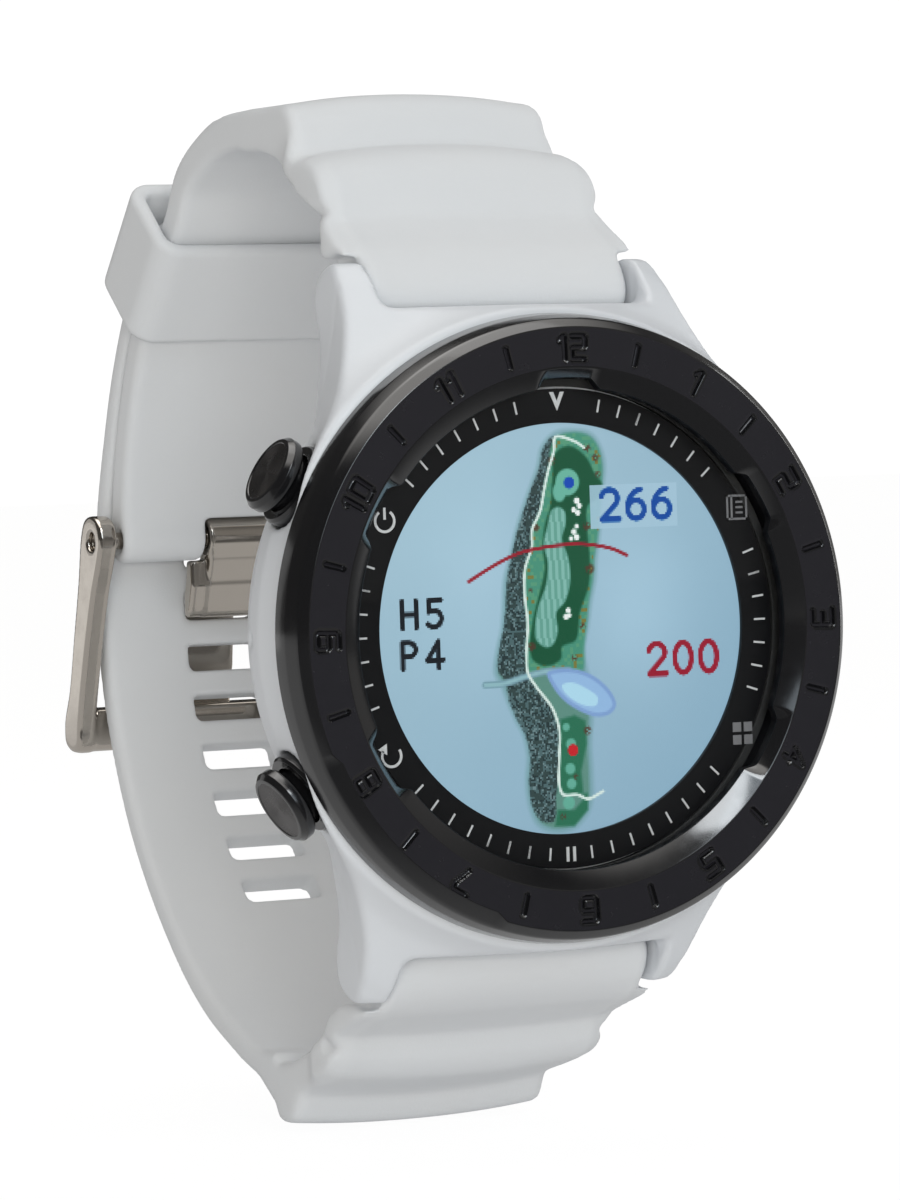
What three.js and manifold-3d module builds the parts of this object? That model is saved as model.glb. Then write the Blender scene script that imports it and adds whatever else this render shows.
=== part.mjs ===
// Golf GPS wristwatch, closed on its strap. Millimetres, +Z up (12 o'clock),
// +X to 3 o'clock, display facing -Y, origin at the centre of the flat case back.
// The strap closes behind the case, on the +Y side, where the buckle is.
import * as THREE from 'three';
import { mergeVertices } from 'three/addons/utils/BufferGeometryUtils.js';
import Module from 'manifold-3d';

const wasm = await Module();
wasm.setup();

// ---------------------------------------------------------------- shared dimensions
// A pair called _Y is a [from, to] range; an _AT pair is a (y, z) place.
const RING_SEGMENTS = 36;
const GLASS_R = 18.6;
const CASE_R = 22.5;
const CAVITY_R = 17.45;
const CASE_CLEARANCE_R = 21.2; // lugs and end pieces stop at this radius
const LUG_X = [11.3, 14.3]; // inner and outer faces of a lug near its tip

const SPRING_BAR_AT = { upper: [-0.7, 25.6], lower: [-0.7, -25.6] };
const BUCKLE_BAR_AT = [45.25, 6.9];
const STRAP_HALF = 11.0; // half width at the lugs
const STRAP_HALF_END = 10.7; // half width at the buckle

const BUTTON_Y = -7.1;
const BUTTON_ANGLE = 60; // degrees from 12 or 6 o'clock
const BUTTON_DEGREES = {
  ul: -BUTTON_ANGLE,
  ll: BUTTON_ANGLE - 180,
  ur: BUTTON_ANGLE,
  lr: 180 - BUTTON_ANGLE,
};

const SCREW_OFFSET = 13.36;
const SCREW_PLACES = [[1, 1], [-1, 1], [1, -1], [-1, -1]]
  .map(([x, z]) => [x * SCREW_OFFSET, z * SCREW_OFFSET]);
const CONTACT_PITCH = 1.8;
const CONTACT_X = [-1.5, -0.5, 0.5, 1.5].map((step) => step * CONTACT_PITCH);
const CONTACT_Z = -9.0;

// ---------------------------------------------------------------- materials
const FINISHES = {
  case_white: { color: 0xe6e8ea, roughness: 0.45, metalness: 0 },
  silicone: { color: 0xe9eaea, roughness: 0.75, metalness: 0 },
  black_metal: { color: 0x141416, roughness: 0.3, metalness: 0.8 },
  black_gloss: { color: 0x0b0b0d, roughness: 0.15, metalness: 0.2 },
  glass: { color: 0xbfd4dc, roughness: 0.05, metalness: 0 },
  steel: { color: 0xa39a8e, roughness: 0.25, metalness: 1 },
  plastic: { color: 0x2a2d30, roughness: 0.6, metalness: 0 },
  pcb: { color: 0x14512f, roughness: 0.6, metalness: 0 },
  gold: { color: 0xc9a24a, roughness: 0.35, metalness: 1 },
  ceramic: { color: 0xcfc6b2, roughness: 0.6, metalness: 0 },
  pouch: { color: 0x9fa4aa, roughness: 0.4, metalness: 0.3 },
  rubber: { color: 0x1b1b1b, roughness: 0.9, metalness: 0 },
  screen: { color: 0x9fc0d0, roughness: 0.2, metalness: 0 },
};

// ---------------------------------------------------------------- meshes and solids
const group = new THREE.Group();

// weld by position alone
function weld(geometry) {
  const copy = geometry.clone();
  copy.deleteAttribute('normal');
  copy.deleteAttribute('uv');
  return mergeVertices(copy, 1e-4);
}

// Manifold solid from a geometry; a solid passes through unchanged
function solid(shape) {
  if (!(shape instanceof THREE.BufferGeometry)) return shape;
  const welded = weld(shape);
  const corners = welded.index.array;
  const triangles = [];
  for (let i = 0; i < corners.length; i += 3) {
    const [a, b, c] = corners.slice(i, i + 3);
    if (a !== b && b !== c && a !== c) triangles.push(a, b, c);
  }
  const result = new wasm.Manifold(new wasm.Mesh({
    numProp: 3,
    vertProperties: Float32Array.from(welded.getAttribute('position').array),
    triVerts: Uint32Array.from(triangles),
  }));
  if (result.volume() < 0) throw new Error('inside-out solid');
  return result;
}

function join(body, ...parts) {
  return parts.reduce((sum, part) => sum.add(solid(part)), solid(body));
}

function cut(body, ...tools) {
  return tools.reduce((rest, tool) => rest.subtract(solid(tool)), solid(body));
}

function toGeometry(body) {
  const mesh = body.getMesh();
  const geometry = new THREE.BufferGeometry();
  geometry.setAttribute('position', new THREE.Float32BufferAttribute(mesh.vertProperties, 3));
  geometry.setIndex(Array.from(mesh.triVerts));
  return geometry;
}

function add(name, finish, shape) {
  const geometry = shape instanceof THREE.BufferGeometry ? weld(shape) : toGeometry(shape);
  geometry.computeVertexNormals();
  const mesh = new THREE.Mesh(geometry, new THREE.MeshStandardMaterial(FINISHES[finish]));
  mesh.name = name;
  group.add(mesh);
}

// ---------------------------------------------------------------- shape helpers
const radians = THREE.MathUtils.degToRad;
const centred = (half) => [-half, half];
// range from near to far on the + or - side of zero
const onSide = (side, near, far) => (side > 0 ? [near, far] : [-far, -near]);
const mirrorZ = (outline, side) => outline.map(([y, z]) => [y, side * z]);

// Body of revolution about Y. The (r, y) profile runs counter-clockwise and is closed
// here, unless it starts and ends on the axis.
function turned(profile, segments = RING_SEGMENTS) {
  const loop = profile[0][0] === 0 ? profile : [...profile, profile[0]];
  return new THREE.LatheGeometry(loop.map(([r, y]) => new THREE.Vector2(r, y)), segments);
}

function tube(inner, outer, [y0, y1], segments) {
  return turned([[inner, y0], [outer, y0], [outer, y1], [inner, y1]], segments);
}

function disc(radius, [y0, y1], segments) {
  return turned([[0, y0], [radius, y0], [radius, y1], [0, y1]], segments);
}

// turn a piece built round Y so that its +Y points along direction, then move it
function aim(geometry, direction, place) {
  const turn = new THREE.Quaternion().setFromUnitVectors(
    new THREE.Vector3(0, 1, 0),
    new THREE.Vector3(...direction).normalize(),
  );
  return geometry.clone().applyQuaternion(turn).translate(...place);
}
const alongX = (geometry, [y, z]) => aim(geometry, [1, 0, 0], [0, y, z]);
const rod = (radius, span, segments, place) => alongX(disc(radius, span, segments), place);

function box([x0, x1], [y0, y1], [z0, z1]) {
  return new THREE.BoxGeometry(x1 - x0, y1 - y0, z1 - z0)
    .translate((x0 + x1) / 2, (y0 + y1) / 2, (z0 + z1) / 2);
}

function extrude(outline, depth) {
  const shape = new THREE.Shape(outline.map(([u, v]) => new THREE.Vector2(u, v)));
  return new THREE.ExtrudeGeometry(shape, { depth, bevelEnabled: false, steps: 1 });
}

// prism along X from a (y, z) outline
function prism(outline, [x0, x1]) {
  const shapeToWorld = new THREE.Matrix4().set(
    0, 0, 1, 0,
    1, 0, 0, 0,
    0, 1, 0, 0,
    0, 0, 0, 1,
  );
  return extrude(outline, x1 - x0).applyMatrix4(shapeToWorld).translate(x0, 0, 0);
}

// prism along Y from an (x, z) outline
function frontPrism(outline, [y0, y1]) {
  return extrude(outline, y1 - y0).rotateX(Math.PI / 2).translate(0, y1, 0);
}

// six times the volume, negative when the triangles face inwards
function signedVolume(positions, triangles) {
  let sum = 0;
  for (let i = 0; i < triangles.length; i += 3) {
    const [a, b, c] = triangles.slice(i, i + 3)
      .map((corner) => new THREE.Vector3().fromArray(positions, 3 * corner));
    sum += a.dot(b.cross(c));
  }
  return sum;
}

// loft of closed rings of equal length, capped at both ends
function loft(rings) {
  const count = rings[0].length;
  const positions = rings.flat(2);
  const triangles = [];
  for (let i = 0; i + 1 < rings.length; i++) {
    for (let j = 0; j < count; j++) {
      const here = i * count + j;
      const beside = i * count + (j + 1) % count;
      triangles.push(here, beside, beside + count, here, beside + count, here + count);
    }
  }
  const end = (rings.length - 1) * count;
  for (let j = 1; j + 1 < count; j++) {
    triangles.push(0, j + 1, j, end, end + j, end + j + 1);
  }
  if (signedVolume(positions, triangles) < 0) {
    for (let i = 0; i < triangles.length; i += 3) {
      [triangles[i + 1], triangles[i + 2]] = [triangles[i + 2], triangles[i + 1]];
    }
  }
  const geometry = new THREE.BufferGeometry();
  geometry.setAttribute('position', new THREE.Float32BufferAttribute(positions, 3));
  geometry.setIndex(triangles);
  return geometry;
}

// ---------------------------------------------------------------- case middle
// (r, y)
const CASE_PROFILE = [
  [CAVITY_R, -11.35], [22.2, -11.35], [CASE_R, -10.9], [CASE_R, -6.5],
  [22.1, -4.2], [21.4, -2.5], [20.6, -1.5], [20.2, -1.3],
  [17.1, -1.3], [17.1, -3.4], [CAVITY_R, -3.4],
];
// upper lug from the side, (y, z)
const LUG_SIDE = [
  [-11.2, 15.5], [-10.0, 19.0], [-7.4, 23.2], [-4.6, 26.8], [-3.6, 27.9],
  [-2.4, 28.3], [-0.2, 28.2], [1.2, 27.3], [1.7, 25.6], [0.9, 23.4],
  [-0.6, 21.5], [-1.6, 19.0], [-2.0, 15.5],
];
// upper +X lug from the front, (x, z)
const LUG_FRONT = [
  [LUG_X[0], 9], [19.9, 9], [19.2, 13.5], [17.3, 18.5],
  [15.6, 22.5], [LUG_X[1], 26.2], [13.4, 28.4], [LUG_X[0], 28.4],
];
// end piece of the case between the upper lugs, (y, z)
const END_PIECE = [
  [-11.3, 16], [-11.3, 22.3], [-10.6, 22.9], [-6.0, 23.7],
  [-3.6, 23.9], [-2.4, 22.6], [-1.7, 20.6], [-1.5, 16],
];
const END_PIECE_OVERLAP = 0.2; // into each lug
const STRAP_ROOT_HOLLOW_R = 3.0;
const LUG_HOLE = { radius: 0.5, half: 13.4 };
// stepped button hole: radius, range outward from the case axis, segments
const BUTTON_BORES = [
  [3.3, [20.95, 27], 16],
  [1.5, [18.3, 21.5], 12],
  [1.0, [16.6, 21.5], 12],
];
const SCREW_HOLE = { radius: 0.66, y: [-3.1, 0] };
const VENT = { radius: 0.45, reach: [16.8, 24], y: -4.5 };

function buttonDirection(degrees) {
  return [Math.sin(radians(degrees)), 0, Math.cos(radians(degrees))];
}

function lug(sideX, sideZ) {
  const side = prism(mirrorZ(LUG_SIDE, sideZ), onSide(sideX, 10, 20));
  const front = frontPrism(LUG_FRONT.map(([x, z]) => [sideX * x, sideZ * z]), [-12, 3]);
  return cut(solid(side).intersect(solid(front)), disc(CASE_CLEARANCE_R, [-20, 5]));
}

// end piece hollowed round the strap root
function endPiece(sideZ, barPlace) {
  return cut(
    prism(mirrorZ(END_PIECE, sideZ), centred(LUG_X[0] + END_PIECE_OVERLAP)),
    disc(CASE_CLEARANCE_R, [-20, 5]),
    rod(STRAP_ROOT_HOLLOW_R, centred(LUG_X[0]), 24, barPlace),
  );
}

function caseMiddle() {
  const bars = Object.values(SPRING_BAR_AT);
  const body = join(
    turned(CASE_PROFILE),
    lug(-1, -1),
    lug(-1, 1),
    lug(1, -1),
    lug(1, 1),
    endPiece(-1, SPRING_BAR_AT.lower),
    endPiece(1, SPRING_BAR_AT.upper),
  );
  return cut(
    body,
    ...bars.map((place) => rod(LUG_HOLE.radius, centred(LUG_HOLE.half), 10, place)),
    ...Object.values(BUTTON_DEGREES).flatMap((degrees) => BUTTON_BORES.map(
      (bore) => aim(disc(...bore), buttonDirection(degrees), [0, BUTTON_Y, 0]),
    )),
    ...SCREW_PLACES.map(([x, z]) => disc(SCREW_HOLE.radius, SCREW_HOLE.y, 12).translate(x, 0, z)),
    // vent opening at 9 o'clock
    aim(disc(VENT.radius, VENT.reach, 12), [-1, 0, 0], [0, VENT.y, 0]),
  );
}
add('case_middle', 'case_white', caseMiddle());

// ---------------------------------------------------------------- bezel, glass and display
const BEZEL_R = 23.0;
const BEZEL_TOP_Y = -14.75;
const BEZEL_EDGE_Y = -13.9; // outer and inner bevels end here
const BEZEL_BASE_Y = -11.4;
const BEZEL_LAND_R = [19.3, 22.3]; // flat front land
const BEZEL_LIP = { radius: 17.8, y: -13.15 }; // inside edge over the glass
const BEZEL_BORE_R = 18.75; // round the glass
const BEZEL_NOTCH_DEGREES = [0, 60, 120, -120, -60]; // from 12 o'clock

// Tapered cutter across the inside bevel, at 12 o'clock before turning.
function bezelNotch(degrees) {
  const half = 2.6;
  const outerHalf = half - 0.7;
  const topY = -16;
  const floorY = -13.6;
  return loft([
    [[-half, topY, 15], [half, topY, 15], [half, floorY, 15], [-half, floorY, 15]],
    [[-outerHalf, topY, 19], [outerHalf, topY, 19],
      [outerHalf, floorY, 18.6], [-outerHalf, floorY, 18.6]],
  ]).rotateY(radians(degrees));
}

function bezelRing() {
  const profile = [
    [BEZEL_LAND_R[0], BEZEL_TOP_Y], [BEZEL_LAND_R[1], BEZEL_TOP_Y],
    [BEZEL_R, BEZEL_EDGE_Y], [BEZEL_R, BEZEL_BASE_Y],
    [BEZEL_BORE_R, BEZEL_BASE_Y], [BEZEL_BORE_R, BEZEL_LIP.y],
    [BEZEL_LIP.radius, BEZEL_LIP.y], [BEZEL_LIP.radius, BEZEL_EDGE_Y],
  ];
  return cut(turned(profile, 48), ...BEZEL_NOTCH_DEGREES.map(bezelNotch));
}
add('bezel_ring', 'black_metal', bezelRing());
add('cover_glass', 'glass', disc(GLASS_R, [-13.1, -12.1]));
add('lens_gasket', 'rubber', tube(17.95, GLASS_R, [-12.05, BEZEL_BASE_Y]));
add('dial_ring', 'black_gloss', tube(15.25, 17.8, [-12.05, -11.75]));
add('display_module', 'screen', disc(17.2, [-11.7, -10.0]));

// ---------------------------------------------------------------- inside the case
const FRAME = {
  radius: 17.1,
  plateY: [-9.9, -9.45],
  footHalf: 0.9,
  footY: [-9.5, -9.2],
  feet: [[13.2, 0], [-13.2, 0], [0, 14.5]], // (x, z)
};

// plate with a cable window and three feet towards the case back
function innerFrame() {
  const plate = cut(disc(FRAME.radius, FRAME.plateY), box(centred(4), [-12, -9], [-16, -13.5]));
  const { footHalf } = FRAME;
  const feet = FRAME.feet.map(([x, z]) => box(
    [x - footHalf, x + footHalf],
    FRAME.footY,
    [z - footHalf, z + footHalf],
  ));
  return join(plate, ...feet);
}

// board with a notch in its 6 o'clock edge
function mainBoard() {
  return cut(disc(16.9, [-9.15, -8.55], 40), box(centred(5), [-10, -8], [-19, -13.6]));
}

add('inner_frame', 'plastic', innerFrame());
add('main_pcb', 'pcb', mainBoard());
add('gps_antenna', 'ceramic', box(centred(5), [-8.5, -5.4], [6.2, 15.4]));
add('battery', 'pouch', box(centred(8.2), [-8.3, -3.2], [-10.4, 5.6]));
add('buzzer', 'black_metal', disc(3.6, [-5.8, -2.3], 28).translate(-12.4, 0, -0.2));

// The vibration motor lies along Z.
const MOTOR_AT = [12.2, -5.2, 0];
const CAN_Z = [-2.4, 4.6];
const CAN_END_THICKNESS = 0.4;
// half-round weight outline, (-z, y) before it is turned: becomes (y, x reversed)
const WEIGHT_OUTLINE = [
  [0, 0], [1.6, 0], [1.48, 0.6], [1.13, 1.13], [0.6, 1.48],
  [0, 1.6], [-0.6, 1.48], [-1.13, 1.13], [-1.48, 0.6], [-1.6, 0],
];
const onMotorAxis = (geometry) => aim(geometry, [0, 0, 1], MOTOR_AT);

// can open at its lower end
function motorCan() {
  return join(
    onMotorAxis(tube(1.65, 2.0, CAN_Z, 24)),
    onMotorAxis(disc(1.9, [CAN_Z[1] - CAN_END_THICKNESS, CAN_Z[1]], 24)),
  );
}

// shaft, eccentric weight below the open end of the can, and the core inside it
function motorRotor() {
  return join(
    onMotorAxis(disc(0.4, [-4.9, 3.8], 16)),
    prism(WEIGHT_OUTLINE, [-4.8, -2.8]).rotateY(-Math.PI / 2).translate(...MOTOR_AT),
    onMotorAxis(disc(1.3, [-2.0, 3.2], 20)),
  );
}
add('vibration_motor_can', 'steel', motorCan());
add('motor_rotor', 'steel', motorRotor());

// ---------------------------------------------------------------- case back
// (r, y): plug inside the case, flange over its rim, flat back at y = 0
const BACK_PROFILE = [
  [0, -2.1], [16.0, -2.1], [16.0, -1.2], [20.0, -1.2],
  [20.0, -0.8], [19.3, -0.35], [18.2, 0], [0, 0],
];

function caseBack() {
  return cut(
    turned(BACK_PROFILE),
    // clearance hole and counterbore for each screw
    ...SCREW_PLACES.flatMap(([x, z]) => [
      disc(0.75, [-3, 1], 16).translate(x, 0, z),
      disc(1.35, [-0.75, 1], 20).translate(x, 0, z),
    ]),
    ...CONTACT_X.map((x) => disc(0.55, [-3, 1], 12).translate(x, 0, CONTACT_Z)),
  );
}

function caseBackScrew([x, z]) {
  const screw = join(disc(1.25, [-0.7, -0.1], 16), disc(0.6, [-2.6, -0.65], 12));
  const driverSlot = box(centred(0.7), [-0.35, 0.2], centred(0.18));
  return toGeometry(cut(screw, driverSlot)).translate(x, 0, z);
}

// carrier bar with four pins through the case back
function chargingContacts() {
  return join(
    box(centred(4.2), [-2.65, -2.25], [-10.8, -7.2]),
    ...CONTACT_X.map((x) => disc(0.42, [-2.4, -0.12], 12).translate(x, 0, CONTACT_Z)),
  );
}
add('case_back', 'steel', caseBack());
add('case_back_gasket', 'rubber', tube(16.1, 17.0, [-2.0, -1.25]));
SCREW_PLACES.forEach((place, i) => {
  add(`case_back_screw_${i + 1}`, 'steel', caseBackScrew(place));
});
add('charging_contacts', 'gold', chargingContacts());

// ---------------------------------------------------------------- buttons
// Each part is built with local Y outward from the case axis and local X along world Y.
// (r, distance from the case axis)
const COLLAR_PROFILE = [
  [0.95, 21.0], [3.2, 21.0], [3.2, 22.75], [3.05, 22.95],
  [2.35, 22.95], [2.35, 21.7], [0.95, 21.7],
];
const CAP_PROFILE = [
  [0, 16.55], [0.8, 16.55], [0.8, 22.6], [2.15, 22.6], [2.15, 23.6],
  [2.75, 23.6], [2.95, 23.8], [2.95, 24.55], [2.6, 24.9], [0, 24.9],
];
const O_RING = { radius: 1.14, reach: 19.6, cord: 0.28, sides: 6, phase: 0.39 };
const SPRING = { radius: 1.45, start: 21.85, length: 0.62, turns: 2, wire: 0.11 };

class SpringPath extends THREE.Curve {
  getPoint(t, target = new THREE.Vector3()) {
    const angle = t * Math.PI * 2 * SPRING.turns;
    return target.set(
      SPRING.radius * Math.cos(angle),
      SPRING.start + SPRING.length * t,
      SPRING.radius * Math.sin(angle),
    );
  }
}

function buttonSpring() {
  const wire = new THREE.Shape();
  wire.absarc(0, 0, SPRING.wire, 0, Math.PI * 2, false);
  const coil = new THREE.ExtrudeGeometry(wire, {
    steps: 24,
    curveSegments: 2,
    extrudePath: new SpringPath(),
    bevelEnabled: false,
  });
  return weld(coil);
}

function buttonORing() {
  const section = Array.from({ length: O_RING.sides }, (_, i) => {
    const angle = i * 2 * Math.PI / O_RING.sides + O_RING.phase;
    return [
      O_RING.radius + O_RING.cord * Math.cos(angle),
      O_RING.reach + O_RING.cord * Math.sin(angle),
    ];
  });
  return turned(section, 12);
}

function placeButtonPart(geometry, degrees) {
  const worldY = new THREE.Vector3(0, 1, 0);
  const outward = new THREE.Vector3(...buttonDirection(degrees));
  const across = worldY.clone().cross(outward);
  const basis = new THREE.Matrix4().makeBasis(worldY, outward, across);
  return geometry.clone().applyMatrix4(basis).translate(0, BUTTON_Y, 0);
}

for (const [tag, degrees] of Object.entries(BUTTON_DEGREES)) {
  const place = (geometry) => placeButtonPart(geometry, degrees);
  add(`button_collar_${tag}`, 'black_metal', place(turned(COLLAR_PROFILE, 16)));
  add(`button_cap_${tag}`, 'black_metal', place(turned(CAP_PROFILE, 16)));
  add(`button_oring_${tag}`, 'rubber', place(buttonORing()));
  add(`button_circlip_${tag}`, 'steel', place(tube(0.88, 1.35, [16.65, 16.9], 12)));
  add(`button_spring_${tag}`, 'steel', place(buttonSpring()));
  // round plunger on a rectangular body
  add(`tact_switch_${tag}`, 'plastic', join(
    place(disc(0.7, [15.3, 15.85], 12)),
    place(box(centred(0.95), [13.3, 15.45], centred(1.6))),
  ));
}

// ---------------------------------------------------------------- spring bars
// bar with a blind bore in each end
function springBar(place) {
  return cut(
    rod(0.75, centred(10.6), 16, place),
    ...[-1, 1].map((side) => rod(0.5, onSide(side, 6, 12), 12, place)),
  );
}

for (const [tag, place] of Object.entries(SPRING_BAR_AT)) {
  add(`spring_bar_${tag}`, 'steel', springBar(place));
  for (const [sideName, side] of [['left', -1], ['right', 1]]) {
    add(`bar_tip_${tag}_${sideName}`, 'steel', rod(0.4, onSide(side, 8, 13), 12, place));
  }
}
add('buckle_bar', 'steel', rod(0.7, centred(12.6), 16, BUCKLE_BAR_AT));

// ---------------------------------------------------------------- strap
const STRAP_EDGE = 0.7; // chamfer along the strap edges
const ROOT_BORE_R = 0.95; // round the spring bar
const BAND_THICKNESS = { upper: 3.0, lower: 2.2 };
const BACK_ARC_CENTRE = [7.4, 3.4]; // (y, z), shared by both layers
const UPPER_ARC_R = 38.0; // mid surface of the upper band
const LOWER_ARC_R = 40.8; // mid surface of the lower band
const KEEPER_DEGREES = 41.3;
const BAND_INSIDE = [10, 2]; // (y, z) point inside the loop, tells inner from outer
const SLOT = { pitch: 4.4, half: 3.3, length: 2.2, z: 1.1 }; // z of the slot in use

// root stations from the spring bar outwards: outer y, z, inner y, z
const UPPER_ROOT = [
  [-1.8, 23.24, 0.4, 23.24], [-2.95, 24.3, 1.45, 24.3], [-3.3, 25.6, 1.7, 25.6],
  [-3.75, 26.9, 1.75, 27.0], [-3.9, 28.2, 1.9, 28.4], [-3.1, 29.2, 2.3, 29.7],
  [-1.6, 30.4, 2.9, 30.8], [-0.6, 31.4, 3.4, 31.6], [-0.1, 33.2, 4.3, 32.6],
  [0.9, 35.2, 5.4, 33.6], [2.2, 36.4, 6.3, 34.2], [4.4, 36.9, 7.4, 34.9],
  [7.9, 37.2, 9.6, 35.9], [8.4, 38.6, 10.6, 36.4], [9.0, 40.3, 11.8, 36.9],
  [10.2, 41.1, 12.6, 37.2], [13.4, 41.2, 14.1, 37.6], [15.75, 41.15, 15.7, 37.75],
];
const LOWER_ROOT = [
  [-1.8, -23.24, 0.4, -23.24], [-2.95, -24.3, 1.45, -24.3], [-3.3, -25.6, 1.7, -25.5],
  [-3.45, -27.0, 1.8, -26.6], [-3.2, -28.1, 2.1, -27.7], [-1.6, -29.4, 3.0, -28.9],
  [1.2, -30.4, 4.2, -29.2], [2.5, -31.0, 4.9, -29.7], [3.0, -32.6, 6.0, -30.4],
  [3.9, -34.2, 7.0, -31.1], [5.2, -35.2, 8.2, -31.8], [8.0, -35.9, 9.8, -32.6],
  [12.4, -36.5, 12.6, -33.4], [13.0, -37.6, 13.6, -33.8], [14.0, -38.8, 14.4, -34.0],
  [16.15, -38.95, 16.05, -34.3],
];

function onBackArc(radius, degrees) {
  return [
    BACK_ARC_CENTRE[0] + radius * Math.cos(radians(degrees)),
    BACK_ARC_CENTRE[1] + radius * Math.sin(radians(degrees)),
  ];
}
const BUCKLE_BAR_DEGREES = THREE.MathUtils.radToDeg(Math.atan2(
  BUCKLE_BAR_AT[1] - BACK_ARC_CENTRE[1],
  BUCKLE_BAR_AT[0] - BACK_ARC_CENTRE[0],
));

// mid lines of the bands, (y, z), each from beside its root
const UPPER_MID = [
  [17.0, 39.35], [20.5, 39.2], [25.0, 38.1], [29.6, 35.7],
  ...[49.5, KEEPER_DEGREES, 33, 25, 17, 11, BUCKLE_BAR_DEGREES]
    .map((degrees) => onBackArc(UPPER_ARC_R, degrees)),
];
const LOWER_MID = [
  [17.5, -35.4], [21.0, -34.3], [25.0, -32.7], [29.6, -30.6], [33.6, -27.9],
  [37.8, -24.0], [41.1, -20.2], [43.8, -16.3], [46.0, -12], [47.7, -7.6],
  [48.7, -3.3], [49.1, 1.0], [48.95, 5.0], [48.3, 9.6],
  onBackArc(LOWER_ARC_R + 0.05, 17),
  ...[25, 33, KEEPER_DEGREES, 46.4].map((degrees) => onBackArc(LOWER_ARC_R, degrees)),
];

// strap piece with chamfered edges from stations [outer (y, z), inner (y, z), half width]
function strapLoft(stations) {
  return loft(stations.map(([outer, inner, half]) => {
    const dy = inner[0] - outer[0];
    const dz = inner[1] - outer[1];
    const thickness = Math.hypot(dy, dz);
    const edge = Math.min(STRAP_EDGE, thickness * 0.4);
    const share = edge / thickness;
    const point = (x, depth) => [x, outer[0] + dy * depth, outer[1] + dz * depth];
    return [
      point(-half + edge, 0), point(half - edge, 0), point(half, share), point(half, 1 - share),
      point(half - edge, 1), point(-half + edge, 1), point(-half, 1 - share), point(-half, share),
    ];
  }));
}

function strapRoot(table, barPlace) {
  const stations = table.map(([outerY, outerZ, innerY, innerZ]) => (
    [[outerY, outerZ], [innerY, innerZ], STRAP_HALF]
  ));
  return cut(strapLoft(stations), rod(ROOT_BORE_R, centred(12), 16, barPlace));
}

function smoothLine(points, divisions) {
  const controls = points.map(([y, z]) => new THREE.Vector3(0, y, z));
  return new THREE.CatmullRomCurve3(controls, false, 'centripetal')
    .getPoints(divisions)
    .map((point) => [point.y, point.z]);
}

// band on a mid line; half thickness and half width are functions of the fraction along it
function bandLoft(line, halfThickness, halfWidth) {
  return strapLoft(line.map(([y, z], i) => {
    const before = line[Math.max(0, i - 1)];
    const after = line[Math.min(line.length - 1, i + 1)];
    const dy = after[0] - before[0];
    const dz = after[1] - before[1];
    const length = Math.hypot(dy, dz);
    const facing = -dz * (y - BAND_INSIDE[0]) + dy * (z - BAND_INSIDE[1]) < 0 ? -1 : 1;
    const fraction = i / (line.length - 1);
    const offsetY = facing * (-dz / length) * halfThickness(fraction);
    const offsetZ = facing * (dy / length) * halfThickness(fraction);
    return [[y + offsetY, z + offsetZ], [y - offsetY, z - offsetZ], halfWidth(fraction)];
  }));
}

// over the top and down the back arc to an eye on the buckle bar, gapped for the tongue
function upperBand() {
  const strip = bandLoft(
    smoothLine(UPPER_MID, 24),
    (f) => (f < 0.06 ? 1.85 - f * 5 : BAND_THICKNESS.upper / 2),
    (f) => STRAP_HALF + (STRAP_HALF_END - STRAP_HALF) * f,
  );
  return cut(
    join(strip, rod(1.85, centred(STRAP_HALF_END), 24, BUCKLE_BAR_AT)),
    rod(0.82, centred(12), 16, BUCKLE_BAR_AT),
    box(centred(3.3), [41.5, 49], [3.5, 9.9]),
  );
}

// the lower band thins and narrows towards its tip
function lowerHalfThickness(f) {
  const half = BAND_THICKNESS.lower / 2;
  if (f < 0.05) return 2.2 - f * 20;
  return f > 0.8 ? half - (f - 0.8) : half;
}

function lowerHalfWidth(f) {
  if (f > 0.985) return 8.2;
  return f > 0.96 ? 9.6 : STRAP_HALF - 0.4 * f;
}

// adjusting slots, spaced along the band from the one in use
function slotCutters(line) {
  const lengths = [0];
  for (let i = 1; i < line.length; i++) {
    const step = Math.hypot(line[i][0] - line[i - 1][0], line[i][1] - line[i - 1][1]);
    lengths.push(lengths[i - 1] + step);
  }
  const total = lengths[lengths.length - 1];
  const placeAt = (distance) => {
    let i = 1;
    while (i < lengths.length - 1 && lengths[i] < distance) i++;
    const f = (distance - lengths[i - 1]) / (lengths[i] - lengths[i - 1]);
    const dy = line[i][0] - line[i - 1][0];
    const dz = line[i][1] - line[i - 1][1];
    return { y: line[i - 1][0] + dy * f, z: line[i - 1][1] + dz * f, angle: Math.atan2(dz, dy) };
  };
  let inUse = 0;
  for (let distance = 0; distance < total; distance += 0.02) {
    if (placeAt(distance).z < SLOT.z) inUse = distance;
  }
  const cutters = [];
  for (let k = -2; k <= 6; k++) {
    const { y, z, angle } = placeAt(inUse - k * SLOT.pitch);
    // local Y follows the strap
    const cutter = new THREE.BoxGeometry(2 * SLOT.half, SLOT.length, 8);
    cutters.push(cutter.rotateX(angle).translate(0, y, z));
  }
  return cutters;
}

// under the wrist and up the back, outside the upper band
function lowerBand() {
  const line = smoothLine(LOWER_MID, 40);
  return cut(bandLoft(line, lowerHalfThickness, lowerHalfWidth), ...slotCutters(line));
}
add('strap_upper_root', 'silicone', strapRoot(UPPER_ROOT, SPRING_BAR_AT.upper));
add('strap_upper_band', 'silicone', upperBand());
add('strap_lower_root', 'silicone', strapRoot(LOWER_ROOT, SPRING_BAR_AT.lower));
add('strap_lower_band', 'silicone', lowerBand());

// ---------------------------------------------------------------- keeper
// half sizes: across the strap (X), outward, and along the strap
const KEEPER = { wall: 1.25, openX: 11.15, openOut: 3.3, halfAlong: 4.8 };

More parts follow.
